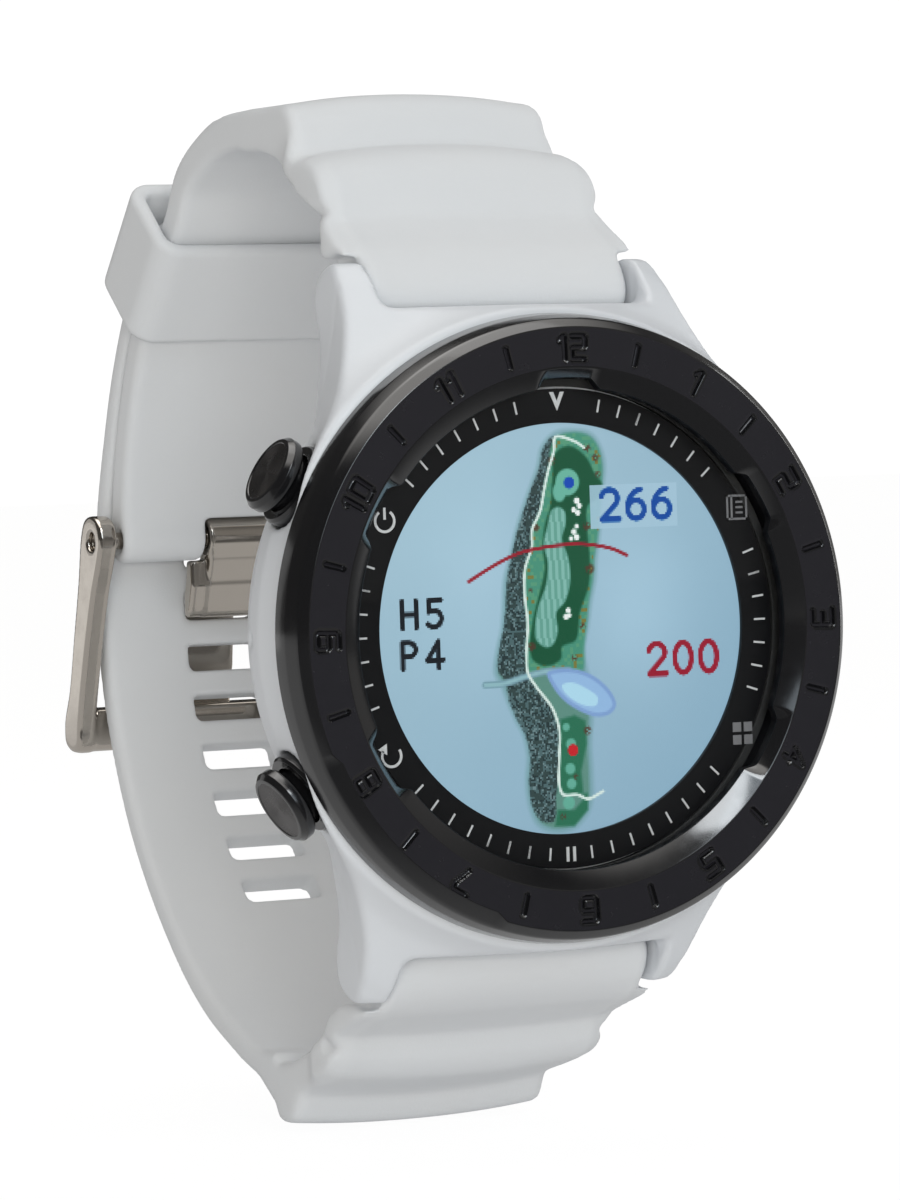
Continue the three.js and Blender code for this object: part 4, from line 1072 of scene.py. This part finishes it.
add_piece("case_back_plate", back_mesh(), ["back_steel"], ["case_back"], slot="steel",
          place=Matrix(((1, 0, 0, 0), (0, 0, 1, 0), (0, -1, 0, 0), (0, 0, 0, 1))))
verts, faces = screw_mesh()
for i, (x, z) in enumerate(SCREWS):
    s, c = math.sin(math.radians(17 + 41 * i)), math.cos(math.radians(17 + 41 * i))
    turned = np.stack([verts[:, 0] * c - verts[:, 2] * s + x, verts[:, 1],
                       verts[:, 0] * s + verts[:, 2] * c + z], 1)
    add_piece(f"case_back_screw_head_{i + 1}", (turned, faces), ["steel"],
              [f"case_back_screw_{i + 1}"])
add_piece("charging_pins", contacts_mesh(), ["gold"], ["charging_contacts"], sharp=40)

# ------------------------------------------------------------ buttons
# profiles as (radius, distance from the watch's axis[, corner radius])
COLLAR_FLOOR = 21.7
COLLAR = [(0.95, 21.0), (3.2, 21.0), (3.2, 22.72, 0.12), (3.02, 22.95, 0.1),
          (2.35, 22.95, 0.12), (2.35, COLLAR_FLOOR), (0.95, COLLAR_FLOOR)]
CAP = [(0, 16.55), (0.8, 16.55, 0.1), (0.8, 22.6, 0.1), (2.15, 22.6, 0.15), (2.15, 23.55, 0.15),
       (2.7, 23.6, 0.1), (2.93, 23.85, 0.12), (2.95, 24.5, 0.12), (2.62, 24.88, 0.12),
       (2.34, 24.9, 0.03), (2.28, 24.84, 0.03)]
CLIP = [(0.88, 16.65), (1.35, 16.65, 0.04), (1.35, 16.9, 0.04), (0.88, 16.9)]
SEAL_R, SEAL_WIRE, SEAL_AT = 1.16, 0.27, 19.6
SPRING_R, SPRING_WIRE, SPRING_TURNS = 1.45, 0.11, 2.6
SPRING_START, SPRING_RISE = 21.86, 0.60


def cap_mesh():
    profile = round_corners(CAP, steps=3)
    for k in range(10):                 # turned rings on the face
        r = 2.22 - 0.22 * k
        profile += [(r, 24.845), (r - 0.11, 24.808)]
    verts, faces = lathe(profile + [(0, 24.83)], 128)
    middle = np.array([np.mean(verts[f], 0) for f in faces])
    return (verts, faces), (np.hypot(middle[:, 0], middle[:, 1]) < 2.27) & (middle[:, 2] > 24.7)


def spring_mesh():
    """Round wire on a helix, with flat end turns."""
    count, sides = 150, 8
    t = np.linspace(0, 1, count)
    angle = t * SPRING_TURNS * 2 * math.pi
    height = SPRING_START + SPRING_RISE * np.clip((t - 0.12) / 0.76, 0, 1)
    out = np.stack([np.cos(angle), np.sin(angle), 0 * t], 1)
    up = np.array([0, 0, 1])
    centre = SPRING_R * out + height[:, None] * up
    around = (2 * math.pi * np.arange(sides) / sides)[None, :, None]
    wire = out[:, None] * np.cos(around) + up * np.sin(around)
    verts = (centre[:, None] + SPRING_WIRE * wire).reshape(-1, 3)
    faces = []
    for a in range(0, (count - 1) * sides, sides):
        b = a + sides
        for j in range(sides):
            k = (j + 1) % sides
            faces.append([b + j, b + k, a + k, a + j])
    faces.append(list(range(sides))[::-1])
    faces.append(list(range((count - 1) * sides, count * sides)))
    return verts, faces


def add_button(tag, degrees):
    direction = button_direction(degrees)
    z = Vector(direction).normalized()
    x = Vector((0, 1, 0)).cross(z).normalized()
    y = z.cross(x)
    place = Matrix((*zip(x, y, z, (0, BUTTON_Y * MM, 0)), (0, 0, 0, 1)))     # local Z outward
    name = f"button_{tag}"
    add_piece(f"{name}_collar", lathe(round_corners(COLLAR, True), 96, True), ["black_metal"],
              [f"button_collar_{tag}"], place=place, sharp=40)
    mesh, on_face = cap_mesh()
    add_piece(f"{name}_cap", mesh, ["black_metal", "button_face"], [f"button_cap_{tag}"],
              body=name, face_slots=on_face, place=place, sharp=40)
    seal = [(SEAL_R + SEAL_WIRE * math.cos(t), SEAL_AT + SEAL_WIRE * math.sin(t))
            for t in np.linspace(0, 2 * math.pi, 20, endpoint=False)]
    add_piece(f"{name}_seal", lathe(seal, 64, True), ["rubber"], [f"button_oring_{tag}"],
              place=place)
    add_piece(f"{name}_clip", lathe(round_corners(CLIP, True), 64, True), ["steel"],
              [f"button_circlip_{tag}"], body=name, place=place, sharp=40)
    spring = add_piece(f"{name}_return_spring", spring_mesh(), ["steel"],
                       [f"button_spring_{tag}"], place=place)
    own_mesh(spring)


for tag, degrees in BUTTONS.items():
    add_button(tag, degrees)

# ------------------------------------------------------------ spring bars and the buckle bar
# (radius, x[, corner radius]); the tube's other half mirrors this one
TUBE_HALF = [(0, -6), (0.5, -6), (0.5, -10.6, 0.06), (0.75, -10.6, 0.08), (0.75, -9.9, 0.1),
             (0.66, -9.7, 0.1), (0.66, -9.5, 0.1), (0.75, -9.3, 0.1)]
TIP = [(0, 8), (0.4, 8, 0.05), (0.4, 12.75, 0.15), (0.32, 13.0, 0.1), (0, 13.0)]
BUCKLE_BAR = [(0, -12.6), (0.7, -12.6, 0.15), (0.7, 12.6, 0.15), (0, 12.6)]

for tag, s in (("upper", 1), ("lower", -1)):
    tube = round_corners(TUBE_HALF + [(r, -x, *bend) for r, x, *bend in TUBE_HALF[::-1]])
    add_piece(f"spring_bar_{tag}_tube", lathe_x(tube, 48, BAR_Y, s * BAR_Z), ["steel"],
              [f"spring_bar_{tag}"], sharp=40)
    for side, q in (("left", -1), ("right", 1)):
        name = f"bar_tip_{tag}_{side}"
        add_piece(f"{name}_pin", lathe_x(round_corners(TIP), 32, BAR_Y, s * BAR_Z, q), ["steel"],
                  [name], body=name, sharp=40)
add_piece("buckle_bar_pin", lathe_x(round_corners(BUCKLE_BAR), 48, BUCKLE_Y, BUCKLE_Z),
          ["nickel"], ["buckle_bar"], body="strap_upper_band", sharp=40)

# ------------------------------------------------------------ strap
UPPER_R, LOWER_R = 38, 40.8             # radii of the two bands' middles in the round part
KEEPER_DEG = 41.3
# side view of each root, (y, z): outer line, then inner line
UPPER_ROOT_OUT = [
    (-1.6, 23.0), (-2.4, 23.2), (-3.3, 23.8), (-3.85, 24.7), (-3.9, 25.6), (-3.5, 26.7),
    (-2.9, 27.6), (-2.0, 28.6), (-0.8, 29.5), (0.4, 30.4), (1.3, 31.3), (1.6, 32.4), (2.0, 34.0),
    (2.7, 35.4), (3.9, 36.4), (5.7, 36.95), (7.8, 37.15), (8.35, 38.5), (9.0, 40.2),
    (10.2, 41.05), (13.4, 41.2), (15.6, 41.15)]
UPPER_ROOT_IN = [
    (0.2, 23.0), (1.3, 23.8), (1.75, 24.8), (1.85, 25.8), (1.8, 27.0), (1.9, 28.4), (2.3, 29.7),
    (2.9, 30.8), (3.5, 31.6), (4.5, 32.5), (5.7, 33.3), (6.8, 34.0), (7.9, 34.9), (9.6, 35.9),
    (10.6, 36.4), (11.8, 36.9), (12.6, 37.2), (14.1, 37.6), (15.6, 37.75)]
LOWER_ROOT_OUT = [
    (-1.6, -23.0), (-2.4, -23.2), (-3.3, -23.8), (-3.85, -24.7), (-3.9, -25.6), (-3.5, -26.7),
    (-2.7, -27.7), (-1.0, -28.9), (0.9, -29.7), (2.8, -30.5), (4.1, -31.2), (4.7, -32.2),
    (5.3, -33.4), (6.6, -34.6), (9.0, -35.4), (11.9, -36.2), (13.1, -36.8), (13.6, -37.6),
    (14.6, -38.75), (16.2, -39.0), (17.2, -38.8), (18.0, -37.6)]
LOWER_ROOT_IN = [
    (0.2, -23.0), (1.3, -23.8), (1.75, -24.8), (1.85, -25.8), (2.2, -27.0), (3.2, -28.1),
    (4.6, -28.8), (5.6, -29.6), (6.4, -30.4), (7.3, -31.1), (8.4, -31.8), (9.9, -32.6),
    (12.6, -33.4), (13.6, -33.8), (14.6, -34.05), (15.6, -34.2), (16.4, -34.25), (17.0, -34.25)]
# middle lines before the round part, (y, z)
UPPER_MIDDLE = [(17.0, 39.35), (20.5, 39.2), (25.0, 38.1), (29.6, 35.7)]
LOWER_MIDDLE = [(17.5, -35.4), (21.0, -34.3), (25.0, -32.7), (29.6, -30.6), (33.6, -27.9),
                (37.8, -24.0), (41.1, -20.2), (43.8, -16.3), (46.0, -12), (47.7, -7.6),
                (48.7, -3.3), (49.1, 1.0), (48.95, 5.0), (48.3, 9.6)]
# stations over the lug tips, distance from x-axis in z against half width
EAR_Z = [27.0, 29.0, 31.6, 34.0, 36.6, 38.4, 60]
EAR_HALF = [12.65, 12.6, 12.05, 12.0, 11.65, 11.1, 11.0]
# adjusting holes in the lower band
HOLE_PITCH = 4.4
HOLES = range(-2, 7)                    # counted from the hole in use, towards the root
HOLE_IN_USE_Z = 1.1


def on_arc(r, degrees):
    a = math.radians(degrees)
    return (STRAP_CENTRE[0] + r * math.cos(a), STRAP_CENTRE[1] + r * math.sin(a))


def band_sides(middle, half):
    """Outer and inner lines of a band; half gives half its thickness at a share of its points."""
    normal = curve_normals(middle)
    normal[(normal * (middle - np.array([10.0, 2.0]))).sum(1) < 0] *= -1
    thick = np.array([half(t) for t in np.linspace(0, 1, len(middle))])[:, None]
    return middle + normal * thick, middle - normal * thick


def add_ears(field, ax, poly, crown, side, grooves):
    """Step the strap out over the lug tips, turned about the spring bar to clear them."""
    end = np.searchsorted(ax[1], 13.5)
    if side > 0:
        span = slice(np.searchsorted(ax[2], 26.5), len(ax[2]))
    else:
        span = slice(0, np.searchsorted(ax[2], -26.5))
    y, z = np.ix_(ax[1][:end], ax[2][span])
    clear = np.maximum(2.6 - np.hypot(y - BAR_Y, z - side * BAR_Z), 27.98 - side * z)
    half = np.interp(side * z, EAR_Z, EAR_HALF)
    half = 10.6 + (half - 10.6) * np.clip((12.5 - y) / 3.5, 0, 1)
    for groove in grooves:
        half = half - 0.45 * np.exp(-(line_distance(y, z, groove) / 0.65) ** 2)
    for i, x in enumerate(ax[0]):
        if abs(x) < 8:
            continue
        shift = crown(y, z) * min(1.3, (abs(x) / STRAP_HALF) ** 2.2)
        ear = round_both(polygon_field(y, z + shift, poly), clear, 0.35)
        ear = round_both(ear, abs(x) - half, 0.7)
        f = min(1.0, max(0.0, (abs(x) - 8.2) / 2.2))
        field[i, :end, span] = soft_min(field[i, :end, span], ear + 0.14 * (2 - f),
                                        0.12 + 0.38 * f)


def strap_mesh(outer, inner, side, low, high, step, edge, crown_from, crown_run, crown_height,
               grooves, bore, width, cut):
    """Sweep a side view across x, its root sinking towards the edges by the crown."""
    ax = axes(low, high, step)
    y, z = np.ix_(ax[1], ax[2])
    poly = np.vstack([outer, inner[::-1]])

    def crown(y, z):
        near = smoothstep((side * z - crown_from) / crown_run)
        return side * crown_height * near * np.clip((24.0 - y) / 10.0, 0, 1)
    section = bore(polygon_field(y, z, poly), y, z)
    section = np.maximum(section, 0.95 - np.hypot(y - BAR_Y, z - side * BAR_Z))
    half = width(y, z)
    field = np.zeros([len(a) for a in ax], np.float32)
    rows = np.arange(len(ax[1]))[:, None]
    for i, x in enumerate(ax[0]):
        shift = crown(y, z) * min(1.3, (abs(x) / STRAP_HALF) ** 2.2)
        u = np.clip((z + shift - ax[2][0]) / step, 0, len(ax[2]) - 1.001)
        k = u.astype(int)
        f = u - k
        sunk = section[rows, k] * (1 - f) + section[rows, k + 1] * f
        field[i] = round_both(sunk, abs(x) - half, edge)
    add_ears(field, ax, poly, crown, side, grooves)
    return surface_mesh(cut(field, *np.ix_(*ax)), ax)


def upper_strap():
    """Half with the buckle."""
    bar_degrees = math.degrees(math.atan2(BUCKLE_Z - STRAP_CENTRE[1],
                                          BUCKLE_Y - STRAP_CENTRE[0]))
    stations = (49.5, 41.3, 33, 25, 17, 11, bar_degrees)
    middle = curve(UPPER_MIDDLE + [on_arc(UPPER_R, d) for d in stations], 5)
    outer, inner = band_sides(middle, lambda t: 1.5 + 0.28 * max(0, 1 - t / 0.1) ** 2)

    def bore(section, y, z):
        off = np.hypot(y - BUCKLE_Y, z - BUCKLE_Z)
        return np.maximum(soft_min(section, off - 1.85, 0.8), 0.82 - off)

    def width(y, z):
        half = STRAP_HALF - 0.3 * np.clip((34 - np.hypot(y - 45, z - 7)) / 30, 0, 1)
        return half - 0.25 * np.exp(-(((y - 8.2) ** 2 + (z - 37.9) ** 2) / 1.8))

    def cut(field, x, y, z):
        # slot for the tongue
        slot = np.maximum(box_field(x, z - 6.0, 3.3, 2.5, 0.5), 41.5 - y)
        return soft_max(field, -slot, 0.4)
    return strap_mesh(
        np.vstack([curve(UPPER_ROOT_OUT, 5), outer[1:]]),
        np.vstack([curve(UPPER_ROOT_IN, 5), inner[1:]]),
        side=1, low=(-12.8, -4.4, 4.4), high=(12.8, 47.6, 42.0), step=0.32, edge=0.75,
        crown_from=29.0, crown_run=6.0, crown_height=0.95, grooves=[[(1.2, 31.8), (3.4, 31.6)]],
        bore=bore, width=width, cut=cut)


def lower_strap():
    """Half with the adjusting holes and the free tail."""
    stations = (17, 25, 33, 41.3, 46.4)
    points = [on_arc(40.85 if d == 17 else LOWER_R, d) for d in stations]
    middle = curve(LOWER_MIDDLE + points, 5)

    def half_thickness(t):
        if t < 0.05:
            return 2.0 - t * 18
        return 1.1 if t < 0.8 else 1.1 - (t - 0.8)
    outer, inner = band_sides(middle, half_thickness)
    run = np.concatenate([[0], np.cumsum(np.hypot(*np.diff(middle, axis=0).T))])
    length = run[-1]

    def point_at(s):
        return np.interp(s, run, middle[:, 0]), np.interp(s, run, middle[:, 1])

    def angle_at(s):
        (y1, z1), (y2, z2) = point_at(s - 0.05), point_at(s + 0.05)
        return math.atan2(z2 - z1, y2 - y1)

    def miss(s):
        y, z = point_at(s)
        return abs(z - HOLE_IN_USE_Z) + (0 if y > 30 else 99)
    in_use = min(np.arange(0, length, 0.02), key=miss)

    def width(y, z):
        # distance along the band from the nearest point, straight on past the tail end
        nearest = np.full(np.broadcast(y, z).shape, 1e9)
        s = np.zeros(nearest.shape)
        for (py, pz), at in zip(middle[::2], run[::2]):
            gap = (y - py) ** 2 + (z - pz) ** 2
            closer = gap < nearest
            nearest[closer] = gap[closer]
            s[closer] = at
        ty, tz = point_at(length - 0.05)
        a = angle_at(length - 0.06)
        beyond = length + (y - ty) * math.cos(a) + (z - tz) * math.sin(a)
        s = np.where(s > length - 6, beyond, s)
        left = length - s
        corner = 3.6
        half = STRAP_HALF - 0.4 * s / length
        arc = corner - np.sqrt(np.maximum(corner * corner - (corner - left) ** 2, 0))
        half = half - np.where(left < corner, arc, 0)
        return half - 0.25 * np.exp(-(((y - 13.0) ** 2 + (z + 36.9) ** 2) / 1.6))

    def cut(field, x, y, z):
        for k in HOLES:
            s = in_use - k * HOLE_PITCH
            (py, pz), a = point_at(s), angle_at(s)
            along = (y - py) * math.cos(a) + (z - pz) * math.sin(a)
            across = -(y - py) * math.sin(a) + (z - pz) * math.cos(a)
            hole = np.maximum(box_field(x, along, 3.3, 1.1, 0.45), np.abs(across) - 4)
            field = soft_max(field, -hole, 0.3)
        return field
    return strap_mesh(
        np.vstack([curve(LOWER_ROOT_OUT, 5), outer[4:]]),
        np.vstack([curve(LOWER_ROOT_IN, 5), inner[1:]]),
        side=-1, low=(-12.8, -4.4, -40.0), high=(12.8, 50.6, 34.6), step=0.33, edge=0.7,
        crown_from=28.5, crown_run=5.0, crown_height=0.7,
        grooves=[[(4.4, -32.2), (6.3, -31.6)], [(13.1, -36.8), (11.6, -33.8)]],
        bore=lambda section, y, z: section, width=width, cut=cut)


def keeper_mesh():
    """Loop round both bands, drawn flat and then turned into place."""
    ax = axes((-12.4, -4.55, -4.8), (12.4, 4.55, 4.8), 0.26)
    x, out, along = np.ix_(*ax)
    wall = np.maximum(box_field(x, out, 12.4, 4.55, 2.1), -box_field(x, out, 11.15, 3.3, 1.1))
    v, faces = surface_mesh(round_both(wall, np.abs(along) - 4.8, 0.5), ax)
    cy, cz = on_arc(39.35, KEEPER_DEG)
    s, c = math.sin(math.radians(KEEPER_DEG)), math.cos(math.radians(KEEPER_DEG))
    y = cy + v[:, 1] * c - v[:, 2] * s
    z = cz + v[:, 1] * s + v[:, 2] * c
    return np.stack([v[:, 0], y, z], 1), faces


ob = add_piece("strap_upper_half", upper_strap(), ["silicone"],
               ["strap_upper_root", "strap_upper_band"], body=None)
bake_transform(ob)
ob = add_piece("strap_lower_half", lower_strap(), ["silicone"],
               ["strap_lower_root", "strap_lower_band"], body=None)
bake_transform(ob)
add_piece("strap_keeper_loop", keeper_mesh(), ["silicone"], ["strap_keeper"], body="keeper")

# ------------------------------------------------------------ buckle
# side views, (y, z)
BUCKLE_ARM = [(45.25, 9.0), (46.6, 8.7), (47.4, 7.4), (48.3, 3.5), (49.6, -1.0), (50.9, -5.5),
              (52.1, -8.2), (52.0, -9.9), (50.6, -10.6), (49.3, -10.2), (48.9, -8.4),
              (48.0, -5.2), (46.6, -1.0), (45.2, 2.6), (43.9, 5.2), (43.3, 7.0), (43.8, 8.4)]
BUCKLE_CROSSBAR = [(49.2, -7.2), (51.6, -7.2), (52.1, -8.2), (52.0, -9.9), (50.6, -10.6),
                   (49.5, -10.3), (49.1, -9.0)]
TONGUE_ROOT = [(44.0, 6.2), (46.2, 6.2), (46.3, 4.0), (46.95, 2.05), (47.2, 1.35)]
TONGUE_PRONG = [(51.6, 1.3), (52.5, 0.75), (53.0, -3.6), (53.6, -8.2), (53.4, -10.2),
                (52.7, -10.4), (52.45, -9.0), (51.95, -4.0), (51.4, 0.3)]
TONGUE_RETURN = [(46.5, 0.3), (45.9, 0.7), (44.9, 3.2), (44.2, 5.0)]


def buckle_mesh():
    ax = axes((-13, 43, -10.8), (13, 52.4, 9.2), 0.16)
    x, y, z = np.ix_(*ax)
    side_view = np.ix_(ax[1], ax[2])
    arm = polygon_field(*side_view, curve(BUCKLE_ARM, 5, True))[None]
    bar = polygon_field(*side_view, curve(BUCKLE_CROSSBAR, 4, True))[None]
    field = soft_min(round_both(arm, np.abs(np.abs(x) - 12.2) - 0.8, 0.32),
                     round_both(bar, np.abs(x) - 12.6, 0.4), 0.35)
    field = soft_max(field, -(np.hypot(y - BUCKLE_Y, z - BUCKLE_Z) - 0.78), 0.12)
    return surface_mesh(field, ax)


def tongue_mesh():
    outline = [*curve(TONGUE_ROOT, 4)[:-1], (47.3, 1.32), *curve(TONGUE_PRONG, 5),
               *curve(TONGUE_RETURN, 4)]
    ax = axes((-4.2, 43.3, -10.6), (4.2, 53.8, 8.8), 0.14)
    x, y, z = np.ix_(*ax)
    shape = polygon_field(*np.ix_(ax[1], ax[2]), outline)[None]
    off = np.hypot(y - BUCKLE_Y, z - BUCKLE_Z)
    # the tip narrows a little past the slot
    half = 2.7 - 0.5 * np.clip((-4 - z) / 6, 0, 1)
    half = half - 1.2 * np.clip((-9.2 - z) / 1.4, 0, 1) ** 2
    field = round_both(shape, np.abs(x) - half, 0.3)
    field = soft_min(field, round_both(off - 1.75, np.abs(x) - 2.9, 0.25), 0.4)
    # wide foot that lies inside the strap and stops against it
    foot = np.maximum(np.maximum(shape, z - 5.0), np.maximum(y - 46.9, 45.0 - y))
    field = soft_min(field, round_both(foot, np.abs(x) - 4.1, 0.45), 0.25)
    return surface_mesh(soft_max(field, -(off - 0.8), 0.1), ax)


add_piece("buckle_frame_bow", buckle_mesh(), ["nickel"], ["buckle_frame"], body="buckle_frame")
add_piece("buckle_tongue_prong", tongue_mesh(), ["nickel"], ["buckle_tongue"],
          body="buckle_tongue")

# ------------------------------------------------------------ parts kept as in the frame
# those not named here are steel
KEPT = {
    "inner_frame": "plastic", "main_pcb": "pcb", "gps_antenna": "ceramic", "battery": "pouch",
    "buzzer": "black_metal", "case_back_gasket": "rubber",
    **{f"tact_switch_{tag}": "plastic" for tag in BUTTONS},
}
for name, ob in NODES.items():
    if ob.hide_render:
        continue
    ob.data.materials.clear()
    ob.data.materials.append(MATERIALS[KEPT.get(name, "steel")])
    ob.data.shade_smooth()
    ob.data.set_sharp_from_angle(angle=math.radians(32))
    bevel = ob.modifiers.new("edge", "BEVEL")
    bevel.width = 0.06 * MM
    bevel.segments = 2
    bevel.limit_method = "ANGLE"
    bevel.angle_limit = math.radians(35)

# ------------------------------------------------------------ floor, in metres
FLOOR_HALF = 6.0
FLOOR_DROP = 0.0002
scene = bpy.context.scene


def floor_material():
    """Glows white to the camera; its reflection is dim towards -Y."""
    material = bpy.data.materials.new("pale_floor")
    s = Shader(material)
    shader = s.nodes["Principled BSDF"]
    s.fill(shader, {"Base Color": (0.6, 0.6, 0.6, 1), "Roughness": 0.9,
                    "Specular IOR Level": 0.1})
    camera_ray = s.node("LightPath", out="Is Camera Ray")
    glossy_ray = camera_ray.node.outputs["Is Glossy Ray"]
    coords = s.node("TexCoord", out="Object")
    y = s.node("SeparateXYZ", {0: coords}, out="Y")
    reflected = s.smooth_ramp(y, start=-0.05, end=-0.012, low=0.06, high=0.55)
    strength = s.mix(glossy_ray, 1.12, reflected)
    glow = s.node("Emission", {"Color": (1, 1, 1, 1), "Strength": strength})
    seen = s.math("MAXIMUM", camera_ray, glossy_ray)
    # share of glow: 0.30 for other rays, 0.84 when seen directly or reflected
    share = s.math("MULTIPLY_ADD", seen, 0.54, 0.30)
    mixed = s.node("MixShader", {0: share, 1: shader.outputs[0], 2: glow})
    s.fill(s.nodes["Material Output"], {"Surface": mixed})
    return material


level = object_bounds()[0].z - FLOOR_DROP
me = bpy.data.meshes.new("floor")
me.from_pydata([(x * FLOOR_HALF, y * FLOOR_HALF, level)
                for x, y in ((-1, -1), (1, -1), (1, 1), (-1, 1))], [], [(0, 1, 2, 3)])
me.materials.append(floor_material())
floor = bpy.data.objects.new("floor", me)
scene.collection.objects.link(floor)


# ------------------------------------------------------------ world and lamps
def add_world():
    """Soft room light on the matt parts; a dark room with a bright top in the reflections."""
    world = bpy.data.worlds.new("studio")
    scene.world = world
    s = Shader(world)
    coords = s.node("TexCoord", out="Generated")
    x, y, z = s.node("SeparateXYZ", {0: coords}).node.outputs
    ramp = s.smooth_ramp

    def add(a, b):
        return s.math("ADD", a, b)
    soft = add(add(ramp(z, start=0.0, end=0.8, low=0.07, high=0.50),
                   ramp(y, start=-0.3, end=0.5, low=0.0, high=0.20)),
               ramp(x, start=0.2, end=0.9, low=0.0, high=0.08))
    overhead = s.math("MULTIPLY", ramp(z, start=0.70, end=0.90, low=0.07, high=2.4),
                      ramp(x, start=-0.2, end=0.6, low=1.0, high=0.55))
    right = ramp(x, start=0.55, end=0.95, low=0.0, high=0.22)
    front_right = s.math("MULTIPLY", ramp(y, start=-0.35, end=-0.85, low=0.0, high=0.22),
                         ramp(x, start=-0.25, end=0.25, low=0.0, high=1.0))
    dark = add(add(overhead, right), front_right)
    camera_ray = s.node("LightPath", out="Is Camera Ray")
    room = s.mix(camera_ray.node.outputs["Is Glossy Ray"], soft, dark)
    s.fill(s.nodes["Background"], {
        "Strength": s.mix(camera_ray, room, 1.05),
        "Color": s.mix_colour(camera_ray, (1.0, 0.975, 0.94, 1), (1, 1, 1, 1))})
    world.cycles.sampling_method = "NONE"


def add_lamp(name, place, size, power, colour=(1, 1, 1)):
    """Rectangular lamp aimed at the watch and hidden from the camera."""
    light = bpy.data.lights.new(name, "AREA")
    light.shape = "RECTANGLE"
    light.size, light.size_y = size
    light.energy = power
    light.color = colour
    ob = bpy.data.objects.new(name, light)
    ob.location = place
    ob.rotation_mode = "QUATERNION"
    aim = Vector((0, 0.01, 0)) - Vector(place)
    ob.rotation_quaternion = aim.to_track_quat("-Z", "Y")
    scene.collection.objects.link(ob)
    ob.visible_camera = False
    return ob


add_world()
add_lamp("key", place=(-0.10, -0.88, 0.42), size=(0.6, 0.5), power=2.0, colour=(0.80, 0.91, 1.0))
low_lamp = add_lamp("low", place=(-0.42, -0.83, 0.00), size=(0.5, 0.3), power=5.2,
                    colour=(1.0, 0.97, 0.91))
low_lamp.visible_glossy = False
add_lamp("side", place=(0.62, 0.10, 0.12), size=(0.12, 0.5), power=0.9)
add_lamp("top", place=(0.05, 0.05, 0.75), size=(0.6, 0.35), power=0.55)
# small panels seen only in the polished parts
glint = add_lamp("glint", place=(-0.15, -0.73, 0.66), size=(0.3, 0.26), power=2.2,
                 colour=(0.93, 0.97, 1.0))
glint.visible_diffuse = False
card = add_lamp("card", place=(-0.30, 0.60, 0.03), size=(0.24, 0.34), power=0.11)
card.visible_diffuse = False

# ------------------------------------------------------------ camera and colour
camera = bpy.data.cameras.new("camera")
camera_ob = bpy.data.objects.new("camera", camera)
scene.collection.objects.link(camera_ob)
scene.camera = camera_ob
camera.sensor_fit = "AUTO"
camera.sensor_width = 36
camera.lens = 167.48
camera.clip_start, camera.clip_end = 0.02, 50
# columns: camera's right, up and back, then its place
camera_ob.matrix_world = Matrix(((0.8888, 0.0416, -0.4565, -0.19635),
                                 (-0.4572, 0.0091, -0.8893, -0.37624),
                                 (-0.0328, 0.9991, 0.0271, 0.01361),
                                 (0, 0, 0, 1)))
scene.view_settings.view_transform = "Standard"
scene.view_settings.look = "None"
scene.view_settings.exposure = 0.0
scene.view_settings.gamma = 1.0
